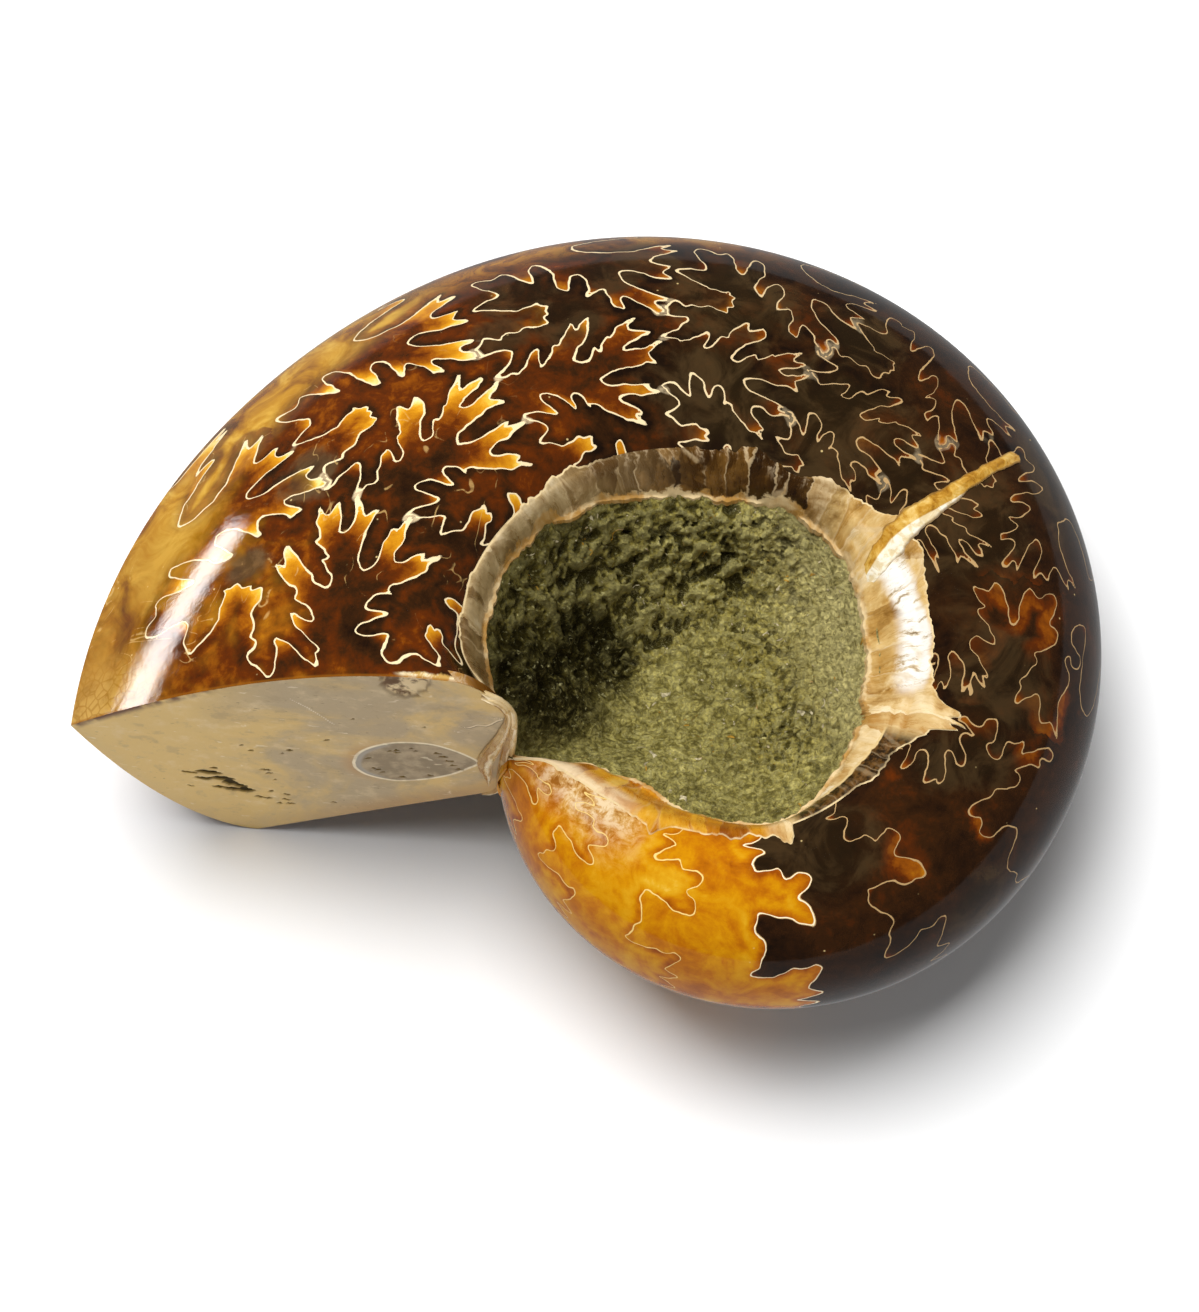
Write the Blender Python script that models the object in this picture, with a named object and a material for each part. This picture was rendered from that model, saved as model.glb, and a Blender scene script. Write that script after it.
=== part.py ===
"""A polished ammonite, lying on its flank, with its mouth end sawn off flat.

It is one solid: the last whorl of the coiled shell, filled with stone, with a rock-filled
bowl (the umbilicus) in the middle of each flank. Lengths are in metres and angles in degrees.
A growth angle is counted backwards along the coil, from 0 at the tip of the sawn end.
"""

import math

import bmesh
import bpy
from mathutils import Matrix

# The coil: a spiral about the Z axis, whose radius shrinks by the same share in each degree.
COIL_RADIUS = 0.06375
COIL_TIGHTNESS = 0.1653
COIL_OVAL = 0.0234
OVAL_LONG_AT = 102.0
OVAL_FROM = 60
TIP_BEARING = 183.4

# Half the whorl's thickness, as (growth angle, metres).
HALF_THICKNESS = [
    (-20, 0.0216), (0, 0.0212), (90, 0.0169), (180, 0.0160), (270, 0.0117), (341, 0.0092), (372, 0.0079),
]
UNDERSIDE_SWELL = 0.06
SWELL_ENDS = 90

# How far in from the outer edge each flank is thickest, as a share of the coil's radius:
# first at the sawn end, then on the older whorl.
UPPER_CREST = (0.53, 0.49)
LOWER_CREST = (0.30, 0.49)
SECTION_ROUNDS_BY = 130.0
SECTION_BLUNT_AT = 340

# The shape of the arch from keel to crest at the sawn end, and what is added to it as the section
# rounds and then blunts: how it bends over to the crest, and how blunt it is at the keel.
ARCH_BEND = (1.85, 0.25, 0.3)
ARCH_BLUNT = (1.0, 1.1, 0.3)

# The saw cut: a plane along the coil's axis, this far from it and turned this much from X. Nearer
# the axis than CUT_STOPS, the rock in the bowls hides where it ends.
CUT_OFFSET = 0.0089
CUT_TURN = 4.6
CUT_STOPS = 0.0223

# Loops round the upper bowl, as (growth angle, metres): the shell's rim, the edge of the rock
# inside it, and how high that edge lies above the middle of the whorl.
RIM_RADIUS = [
    (-15, 0.0234), (0, 0.0269), (45, 0.0240), (92, 0.0203), (120, 0.0189), (180, 0.0176),
    (225, 0.0166), (285, 0.0168), (319, 0.0180), (336, 0.0198), (344, 0.0226),
]
ROCK_RADIUS = [
    (-15, CUT_STOPS), (3, 0.0246), (25, 0.0240), (52, 0.0212), (75, 0.0182), (98, 0.0174),
    (125, 0.0166), (160, 0.0138), (212, 0.0133), (257, 0.0152), (290, 0.0138), (330, 0.0152),
    (344, CUT_STOPS),
]
ROCK_HEIGHT = [
    (-15, 0.0047), (-6, 0.0095), (3, 0.0140), (30, 0.0137), (65, 0.0125), (98, 0.0118), (140, 0.0115),
    (190, 0.0106), (244, 0.0080), (293, 0.0058), (333, 0.0046), (344, 0.0047),
]

# How far the flank's surface rolls over next to the rim.
SHOULDER_WIDTH = 0.0055
SHOULDER_DROP = [
    (-15, 0.0058), (0, 0.0030), (45, 0.0020), (92, 0.0014), (180, 0.0022), (270, 0.0016), (344, 0.0),
]

# The edge of the rock in the lower bowl, its height measured downwards.
LOW_ROCK_RADIUS = [
    (-15, CUT_STOPS), (20, 0.0220), (70, 0.0195), (120, 0.0175), (180, 0.0160), (250, 0.0150), (310, 0.0162),
    (344, CUT_STOPS),
]
LOW_ROCK_HEIGHT = [
    (-15, 0.0047), (20, 0.0080), (70, 0.0110), (120, 0.0115), (180, 0.0110), (250, 0.0080), (310, 0.0056),
    (344, 0.0047),
]

# The rock's surface in the bowls.
UPPER_FLOOR = 0.0030
DIP_DEPTH = 0.0050
DIP_CENTRE = (-0.012, 0.003)
DIP_SPREAD = 0.007
LOWER_FLOOR = 0.0015
BOWL_STEEPNESS = 2.2

# How the fossil leans when it lies on its lower flank.
LEAN_ABOUT_Y = 4.7
LEAN_ABOUT_X = -3.2

COLUMNS = 88
ROCK_ROWS = 8
WALL_ROWS = 3
FLANK_ROWS = 13
LOW_WALL_ROWS = 5

# How far the wall of a bowl stands out from the rock at least, and the rounds it takes to settle
# a radius that a column and a loop share.
THINNEST_WALL = 0.0003
SETTLING_ROUNDS = 25

# How much the rows of a flank crowd towards its keel: 0 is evenly spread.
CROWDING = 0.6
MERGE_DISTANCE = 1e-6
SHARP_EDGE = 40


def ease(value, start, end):
    """0 before start, 1 after end, and a smooth S between them."""
    share = min(max((value - start) / (end - start), 0.0), 1.0)
    return share * share * (3 - 2 * share)


def along(points, angle):
    """The value at an angle on a smooth curve through (angle, value) points."""
    last = len(points) - 2
    i = 0
    while i < last and points[i + 1][0] <= angle:
        i += 1

    def slope(j):
        before, after = points[max(j - 1, 0)], points[min(j + 1, last + 1)]
        return (after[1] - before[1]) / (after[0] - before[0])

    (start, low), (end, high) = points[i], points[i + 1]
    width = end - start
    t = min(max((angle - start) / width, 0.0), 1.0)
    bend_in = slope(i) * width * (t - 2 * t**2 + t**3)
    bend_out = slope(i + 1) * width * (t**3 - t**2)
    return low + (high - low) * (3 * t**2 - 2 * t**3) + bend_in + bend_out


def keel_radius(angle):
    """The radius of the keel, the coil's outer edge, at a growth angle."""
    oval = COIL_OVAL * math.cos(math.radians(2 * (angle - OVAL_LONG_AT))) * ease(angle, 0, OVAL_FROM)
    return COIL_RADIUS * math.exp(-COIL_TIGHTNESS * math.radians(angle)) * (1 + oval)


def crest_depth(angle, crest):
    """How far in from the keel a flank is thickest."""
    first, later = crest
    return keel_radius(angle) * (first + (later - first) * ease(angle, 0, SECTION_ROUNDS_BY))


def bulge(share, angle):
    """The flank's height from the keel (share 0) to its crest (share 1): a pointed arch at the
    sawn end, which rounds to a blunt ellipse on the older whorl."""
    rounding = ease(angle, 0, SECTION_ROUNDS_BY)
    blunting = ease(angle, SECTION_ROUNDS_BY, SECTION_BLUNT_AT)
    bend = ARCH_BEND[0] + ARCH_BEND[1] * rounding + ARCH_BEND[2] * blunting
    blunt = ARCH_BLUNT[0] + ARCH_BLUNT[1] * rounding + ARCH_BLUNT[2] * blunting
    share = min(max(share, 0.0), 1.0)
    return (1 - (1 - share) ** bend) ** (1 / blunt)


def upper_flank(radius, angle, rim):
    """The upper flank's height, with its shoulder rolled over next to the rim's radius."""
    share = (keel_radius(angle) - radius) / crest_depth(angle, UPPER_CREST)
    near_rim = max(1 - (radius - rim) / SHOULDER_WIDTH, 0.0)
    return along(HALF_THICKNESS, angle) * bulge(share, angle) - along(SHOULDER_DROP, angle) * near_rim**2


def lower_flank(radius, angle):
    share = (keel_radius(angle) - radius) / crest_depth(angle, LOWER_CREST)
    swell = 1 + UNDERSIDE_SWELL * (1 - ease(angle, 0, SWELL_ENDS))
    return -along(HALF_THICKNESS, angle) * swell * bulge(share, angle)


def bearing(radius, turn):
    """The bearing of a column, turn being 0 at the saw cut and 1 a whole whorl behind it. Each
    column bends so that the first and the last lie in the plane of the cut."""
    offset = CUT_OFFSET / max(radius, CUT_STOPS)
    return 270 - CUT_TURN - math.degrees(math.acos(offset)) - 360 * turn


def growth(radius, turn):
    return TIP_BEARING - bearing(radius, turn)


def settle(turn, radius_at):
    """The radius at which a column meets a loop that is given by growth angle."""
    radius = COIL_RADIUS / 2
    for _ in range(SETTLING_ROUNDS):
        radius = radius_at(growth(radius, turn))
    return radius


def rock(radius, edge_radius, edge_height, floor, dip, turn):
    """The height of the rock in a bowl, which rises from its floor to its edge."""
    angle = math.radians(bearing(radius, turn))
    east = radius * math.cos(angle) - DIP_CENTRE[0]
    north = radius * math.sin(angle) - DIP_CENTRE[1]
    sunk = floor - dip * math.exp(-(east**2 + north**2) / (2 * DIP_SPREAD**2))
    return sunk + (edge_height - sunk) * (radius / edge_radius) ** BOWL_STEEPNESS


def column(turn):
    """One column's (radius, height) points, from the axis over the upper flank to the axis below."""
    outer = settle(turn, keel_radius)
    rock_edge = settle(turn, lambda angle: along(ROCK_RADIUS, angle))
    rim = max(settle(turn, lambda angle: along(RIM_RADIUS, angle)), rock_edge + THINNEST_WALL)
    low_edge = settle(turn, lambda angle: along(LOW_ROCK_RADIUS, angle))
    crest = settle(turn, lambda angle: keel_radius(angle) - crest_depth(angle, LOWER_CREST))
    crest = max(crest, low_edge + THINNEST_WALL)
    rock_height = along(ROCK_HEIGHT, growth(rock_edge, turn))
    rim_height = upper_flank(rim, growth(rim, turn), rim)
    low_height = -along(LOW_ROCK_HEIGHT, growth(low_edge, turn))
    crest_height = lower_flank(crest, growth(crest, turn))

    points = []
    for i in range(ROCK_ROWS):
        radius = rock_edge * i / ROCK_ROWS
        points.append((radius, rock(radius, rock_edge, rock_height, UPPER_FLOOR, DIP_DEPTH, turn)))
    for i in range(WALL_ROWS):
        share = i / WALL_ROWS
        radius = rock_edge + (rim - rock_edge) * share
        points.append((radius, rock_height + (rim_height - rock_height) * share))
    for i in range(FLANK_ROWS):
        share = i / FLANK_ROWS
        spread = CROWDING * math.sin(share * math.pi / 2) + (1 - CROWDING) * share
        radius = rim + (outer - rim) * spread
        points.append((radius, upper_flank(radius, growth(radius, turn), rim)))
    for i in range(FLANK_ROWS):
        share = i / FLANK_ROWS
        spread = CROWDING * (1 - math.cos(share * math.pi / 2)) + (1 - CROWDING) * share
        radius = outer - (outer - crest) * spread
        points.append((radius, lower_flank(radius, growth(radius, turn))))
    for i in range(LOW_WALL_ROWS):
        share = i / LOW_WALL_ROWS
        radius = crest + (low_edge - crest) * share
        points.append((radius, crest_height + (low_height - crest_height) * share))
    for i in range(ROCK_ROWS + 1):
        radius = low_edge * (1 - i / ROCK_ROWS)
        points.append((radius, rock(radius, low_edge, low_height, -LOWER_FLOOR, 0.0, turn)))
    return points


def shape_fossil():
    """A sheet wrapped once round the coil, joined along the rock of both bowls, and closed by
    the flat face of the cut."""
    rows = 2 * ROCK_ROWS + 2 * FLANK_ROWS + WALL_ROWS + LOW_WALL_ROWS
    mesh = bmesh.new()
    bmesh.ops.create_grid(mesh, x_segments=COLUMNS, y_segments=rows, size=1)
    columns = [column(i / COLUMNS) for i in range(COLUMNS + 1)]
    for vertex in mesh.verts:
        across = round((vertex.co.x + 1) / 2 * COLUMNS)
        down = round((vertex.co.y + 1) / 2 * rows)
        radius, height = columns[across][down]
        angle = math.radians(bearing(radius, across / COLUMNS))
        vertex.co = (radius * math.cos(angle), radius * math.sin(angle), height)
    bmesh.ops.remove_doubles(mesh, verts=mesh.verts, dist=MERGE_DISTANCE)
    cut_outline = [edge for edge in mesh.edges if edge.is_boundary]
    bmesh.ops.holes_fill(mesh, edges=cut_outline, sides=0)
    bmesh.ops.triangulate(mesh, faces=mesh.faces)
    bmesh.ops.recalc_face_normals(mesh, faces=mesh.faces)
    return mesh


def lay_down(mesh):
    """Leans the fossil as it rests, and puts the middle of its footprint at the origin."""
    about_y = Matrix.Rotation(math.radians(LEAN_ABOUT_Y), 3, "Y")
    about_x = Matrix.Rotation(math.radians(LEAN_ABOUT_X), 3, "X")
    bmesh.ops.rotate(mesh, verts=mesh.verts, cent=(0, 0, 0), matrix=about_x @ about_y)
    sides = [[vertex.co[axis] for vertex in mesh.verts] for axis in range(3)]
    middle_x = (min(sides[0]) + max(sides[0])) / 2
    middle_y = (min(sides[1]) + max(sides[1])) / 2
    bmesh.ops.translate(mesh, verts=mesh.verts, vec=(-middle_x, -middle_y, -min(sides[2])))


def polished_stone():
    material = bpy.data.materials.new("polished_stone")
    material.use_nodes = True
    shader = material.node_tree.nodes["Principled BSDF"]
    shader.inputs["Base Color"].default_value = (0.24, 0.10, 0.03, 1)
    shader.inputs["Roughness"].default_value = 0.15
    shader.inputs["Metallic"].default_value = 0
    return material


for old in list(bpy.data.objects):
    bpy.data.objects.remove(old, do_unlink=True)

fossil_mesh = shape_fossil()
lay_down(fossil_mesh)
data = bpy.data.meshes.new("ammonite")
fossil_mesh.to_mesh(data)
fossil_mesh.free()
data.materials.append(polished_stone())
data.shade_smooth()
data.set_sharp_from_angle(angle=math.radians(SHARP_EDGE))
ammonite = bpy.data.objects.new("ammonite", data)
bpy.context.scene.collection.objects.link(ammonite)
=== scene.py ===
"""A polished ammonite, lying on its flank, with its mouth end sawn off flat.

Lengths are in metres unless a name says mm, and angles in degrees. The coil's own axes are used
to shape each piece: the coil's axis is Z, and the middle of the whorl's thickness is z = 0.
"""

import math

import bmesh
import bpy
import numpy as np
from mathutils import Matrix, Vector, noise


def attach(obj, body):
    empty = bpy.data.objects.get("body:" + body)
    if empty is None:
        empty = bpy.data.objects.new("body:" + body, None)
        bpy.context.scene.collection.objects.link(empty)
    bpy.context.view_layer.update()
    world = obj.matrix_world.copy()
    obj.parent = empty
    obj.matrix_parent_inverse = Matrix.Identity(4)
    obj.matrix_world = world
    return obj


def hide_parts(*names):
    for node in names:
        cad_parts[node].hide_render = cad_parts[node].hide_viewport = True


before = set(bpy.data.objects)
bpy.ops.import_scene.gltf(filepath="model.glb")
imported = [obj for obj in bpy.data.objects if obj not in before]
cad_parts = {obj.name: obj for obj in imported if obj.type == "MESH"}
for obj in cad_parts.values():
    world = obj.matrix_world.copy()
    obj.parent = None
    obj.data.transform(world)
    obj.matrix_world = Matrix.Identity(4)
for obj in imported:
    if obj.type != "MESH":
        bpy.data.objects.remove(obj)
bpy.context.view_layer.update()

# ---------------------------------------------------------------------------------------------
# The whorl: chambers of the coiled shell, filled with brown calcite, ground and polished until
# the shell is gone. Where each chamber wall met the shell it leaves a cream line, the suture,
# folded like an oak leaf. It is made in two halves that meet along the keel.
# ---------------------------------------------------------------------------------------------
# Growth angle is 0 at the outer tip of the sawn face and rises backwards along the shell; the
# coil's radius shrinks by the same share with each degree. The lists below are (angle, value).
COIL_RADIUS = 0.06375
COIL_TIGHTNESS = 0.1653
COIL_OVAL = 0.0234
OVAL_LONG_AT = 102.0
TIP_BEARING = 183.4
HALF_THICKNESS = [
    (-20, 0.0216), (0, 0.0212), (90, 0.0169), (180, 0.0160), (270, 0.0117), (341, 0.0092), (372, 0.0079),
]
UNDERSIDE_SWELL = 0.06
UPPER_CREST = (0.53, 0.49)
LOWER_CREST = (0.30, 0.49)
SECTION_ROUNDS_BY = 130.0
# The saw cut: how far its plane lies from the axis, how far it is turned from square, and the
# radius at which it ends in the notch.
CUT_OFFSET = 0.0089
CUT_TURN = 4.6
CUT_STOPS = 0.0223
CUT_LOOKS_TO = 270 - CUT_TURN
NEAR_CUT_TURNS = 0.2
FAR_BEHIND_CUT = 0.1
RIM_RADIUS = [
    (-15, 0.0234), (0, 0.0269), (45, 0.0240), (92, 0.0203), (120, 0.0189), (180, 0.0176), (225, 0.0166),
    (285, 0.0168), (319, 0.0180), (336, 0.0198), (344, 0.0226),
]
ROCK_RADIUS = [
    (-15, CUT_STOPS), (3, 0.0246), (25, 0.0240), (52, 0.0212), (75, 0.0182), (98, 0.0174), (125, 0.0166),
    (160, 0.0138), (212, 0.0133), (257, 0.0152), (290, 0.0138), (330, 0.0152), (344, CUT_STOPS),
]
ROCK_HEIGHT = [
    (-15, 0.0047), (-6, 0.0095), (3, 0.0140), (30, 0.0137), (65, 0.0125), (98, 0.0118), (140, 0.0115),
    (190, 0.0106), (244, 0.0080), (293, 0.0058), (333, 0.0046), (344, 0.0047),
]
SHOULDER_WIDTH = 0.0055
SHOULDER_DROP = [
    (-15, 0.0058), (0, 0.0030), (45, 0.0020), (92, 0.0014), (180, 0.0022), (270, 0.0016), (344, 0.0),
]
LOW_ROCK_RADIUS = [
    (-15, CUT_STOPS), (20, 0.0220), (70, 0.0195), (120, 0.0175), (180, 0.0160), (250, 0.0150),
    (310, 0.0162), (344, CUT_STOPS),
]
LOW_ROCK_HEIGHT = [
    (-15, 0.0047), (20, 0.0080), (70, 0.0110), (120, 0.0115), (180, 0.0110), (250, 0.0080), (310, 0.0056),
    (344, 0.0047),
]
# How the fossil lies: its lean, and where the coil's own origin then is.
LEAN_ABOUT_Y = 4.7
LEAN_ABOUT_X = -3.2
AXIS_FOOT = (0.0131030, -0.0101729, 0.0186505)
LEAN = Matrix.Rotation(math.radians(LEAN_ABOUT_X), 3, "X")
LEAN = LEAN @ Matrix.Rotation(math.radians(LEAN_ABOUT_Y), 3, "Y")

# How the sheets are closed behind, how fine they are, and how the whorl is unrolled for its map.
FACE_RECESS = 0.0012
LEAN_IN = 0.97
THINNEST_WALL = 0.0003
COLUMNS = 780
UPPER_ROWS = 120
LOWER_ROWS = 90
SETTLE_ROUNDS = 25
PROFILE_POINTS = 240
WALL_POINTS = 60
MAP_FALL = 0.8
MAP_EYE = 0.010
MAP_ROUND = 0.985


def ease(value, start, end):
    """0 before start, 1 after end, and a smooth S between them."""
    share = np.clip((value - start) / (end - start), 0.0, 1.0)
    return share * share * (3 - 2 * share)


def along(points, angle):
    """The value at growth angles, on a smooth curve through (angle, value) points."""
    at, value = np.array(points, float).T
    last = len(at) - 1
    before = np.maximum(np.arange(last + 1) - 1, 0)
    after = np.minimum(np.arange(last + 1) + 1, last)
    slope = (value[after] - value[before]) / (at[after] - at[before])
    i = np.clip(np.searchsorted(at, angle, side="right") - 1, 0, last - 1)
    width = at[i + 1] - at[i]
    t = np.clip((angle - at[i]) / width, 0.0, 1.0)
    bend_in = slope[i] * width * (t - 2 * t**2 + t**3)
    bend_out = slope[i + 1] * width * (t**3 - t**2)
    return value[i] + (value[i + 1] - value[i]) * (3 * t**2 - 2 * t**3) + bend_in + bend_out


def venter(angle):
    """The coil's outer radius at a growth angle."""
    oval = COIL_OVAL * np.cos(np.radians(2 * (angle - OVAL_LONG_AT))) * ease(angle, 0, 60)
    return COIL_RADIUS * np.exp(-COIL_TIGHTNESS * np.radians(angle)) * (1 + oval)


def crest_depth(angle, crest):
    """How far in from the keel a flank is thickest."""
    first, later = crest
    return venter(angle) * (first + (later - first) * ease(angle, 0, SECTION_ROUNDS_BY))


def lower_crest(angle):
    """The radius at which the lower flank is thickest, and its bowl begins."""
    return venter(angle) - crest_depth(angle, LOWER_CREST)


def bulge(share, angle):
    """The flank's height from the keel (share 0) to its crest (share 1)."""
    rounding = ease(angle, 0, SECTION_ROUNDS_BY)
    blunting = ease(angle, SECTION_ROUNDS_BY, 340)
    bend = 1.85 + 0.25 * rounding + 0.3 * blunting
    blunt = 1.0 + 1.1 * rounding + 0.3 * blunting
    share = np.clip(share, 0.0, 1.0)
    return (1 - (1 - share) ** bend) ** (1 / blunt)


def upper_flank(radius, angle, rim):
    """The upper flank's height, with its shoulder rolled over next to the rim's radius."""
    share = (venter(angle) - radius) / crest_depth(angle, UPPER_CREST)
    near_rim = np.maximum(1 - (radius - rim) / SHOULDER_WIDTH, 0.0)
    return along(HALF_THICKNESS, angle) * bulge(share, angle) - along(SHOULDER_DROP, angle) * near_rim**2


def lower_flank(radius, angle):
    share = (venter(angle) - radius) / crest_depth(angle, LOWER_CREST)
    swell = 1 + UNDERSIDE_SWELL * (1 - ease(angle, 0, 90))
    return -along(HALF_THICKNESS, angle) * swell * bulge(share, angle)


def bearing(radius, turn):
    """The bearing of a column: turn is 0 at the saw cut and 1 a whole whorl behind it."""
    offset = CUT_OFFSET / np.maximum(radius, CUT_STOPS)
    return CUT_LOOKS_TO - np.degrees(np.arccos(offset)) - 360 * turn


def growth(radius, turn):
    return TIP_BEARING - bearing(radius, turn)


def settle(turn, radius_at):
    """The radius at which a column meets a loop that is given by growth angle."""
    radius = np.full(np.shape(turn), COIL_RADIUS / 2)
    for _ in range(SETTLE_ROUNDS):
        radius = radius_at(growth(radius, turn))
    return radius


def ring_radius(points, turn):
    """The radius at which a column meets a ring given by (growth angle, radius) points."""
    return settle(turn, lambda angle: along(points, angle))


def spaced_turns(columns):
    """Turns for the columns of a piece, set closer together as the coil shrinks."""
    even = np.linspace(0, 1, columns + 1)
    tight = COIL_TIGHTNESS * math.pi
    return -np.log(1 - even * (1 - math.exp(-tight))) / tight


def upper_profile(turn):
    """Each column's (radius, height) from the keel to the upper rim."""
    outer = settle(turn, venter)
    edge = ring_radius(ROCK_RADIUS, turn)
    rim = np.maximum(ring_radius(RIM_RADIUS, turn), edge + THINNEST_WALL)
    share = np.linspace(0, 1, PROFILE_POINTS) ** 2
    radius = outer[:, None] + (rim - outer)[:, None] * share
    return radius, upper_flank(radius, growth(radius, turn[:, None]), rim[:, None])


def lower_profile(turn):
    """Each column's (radius, height) from the keel under the lower flank and up its bowl's wall."""
    outer = settle(turn, venter)
    low_edge = ring_radius(LOW_ROCK_RADIUS, turn)
    crest = settle(turn, lower_crest)
    crest = np.maximum(crest, low_edge + THINNEST_WALL)
    share = np.linspace(0, 1, PROFILE_POINTS) ** 2
    radius = outer[:, None] + (crest - outer)[:, None] * share
    height = lower_flank(radius, growth(radius, turn[:, None]))
    low_height = -along(LOW_ROCK_HEIGHT, growth(low_edge, turn))
    wall = np.linspace(0, 1, WALL_POINTS)[1:]
    wall_radius = crest[:, None] + (low_edge - crest)[:, None] * wall
    wall_height = height[:, -1:] + (low_height - height[:, -1])[:, None] * wall
    return np.hstack([radius, wall_radius]), np.hstack([height, wall_height])


def evenly(radius, height, rows):
    """The profiles with their rows spaced evenly, and how far each row is from the keel."""
    step = np.hypot(np.diff(radius, axis=1), np.diff(height, axis=1))
    distance = np.hstack([np.zeros((len(radius), 1)), np.cumsum(step, axis=1)])
    wanted = np.linspace(0, 1, rows + 1)[None, :] * distance[:, -1:]
    even_radius = np.array([np.interp(w, d, r) for w, d, r in zip(wanted, distance, radius)])
    even_height = np.array([np.interp(w, d, h) for w, d, h in zip(wanted, distance, height)])
    return even_radius, even_height, wanted


def upright(radius, angle, height):
    """Points in the coil's axes, from radius, bearing and height."""
    turned = np.radians(angle)
    return np.stack([radius * np.cos(turned), radius * np.sin(turned), height], axis=-1)


def laid_down(points):
    """Points moved from the coil's axes to where the fossil lies."""
    return points @ np.array(LEAN).T + np.array(AXIS_FOOT)


def clouds(points, size, seed, octaves=3):
    """Smooth random values of about -1 to 1 at points; size is that of the widest clouds."""
    scaled = (points / size + seed * 7.31).reshape(-1, 3)
    return np.array([noise.fractal(Vector(p), 1.0, 2.0, octaves) for p in scaled]).reshape(points.shape[:-1])


def blurred(field, reach):
    """A grid of values, each averaged with those around it."""
    span = int(reach * 3)
    weights = np.exp(-0.5 * (np.arange(-span, span + 1) / reach) ** 2)
    weights /= weights.sum()
    for _ in range(2):
        padded = np.pad(field, ((span, span), (0, 0)), mode="edge")
        field = sum(w * padded[k : k + len(field)] for k, w in enumerate(weights)).T
    return field


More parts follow.
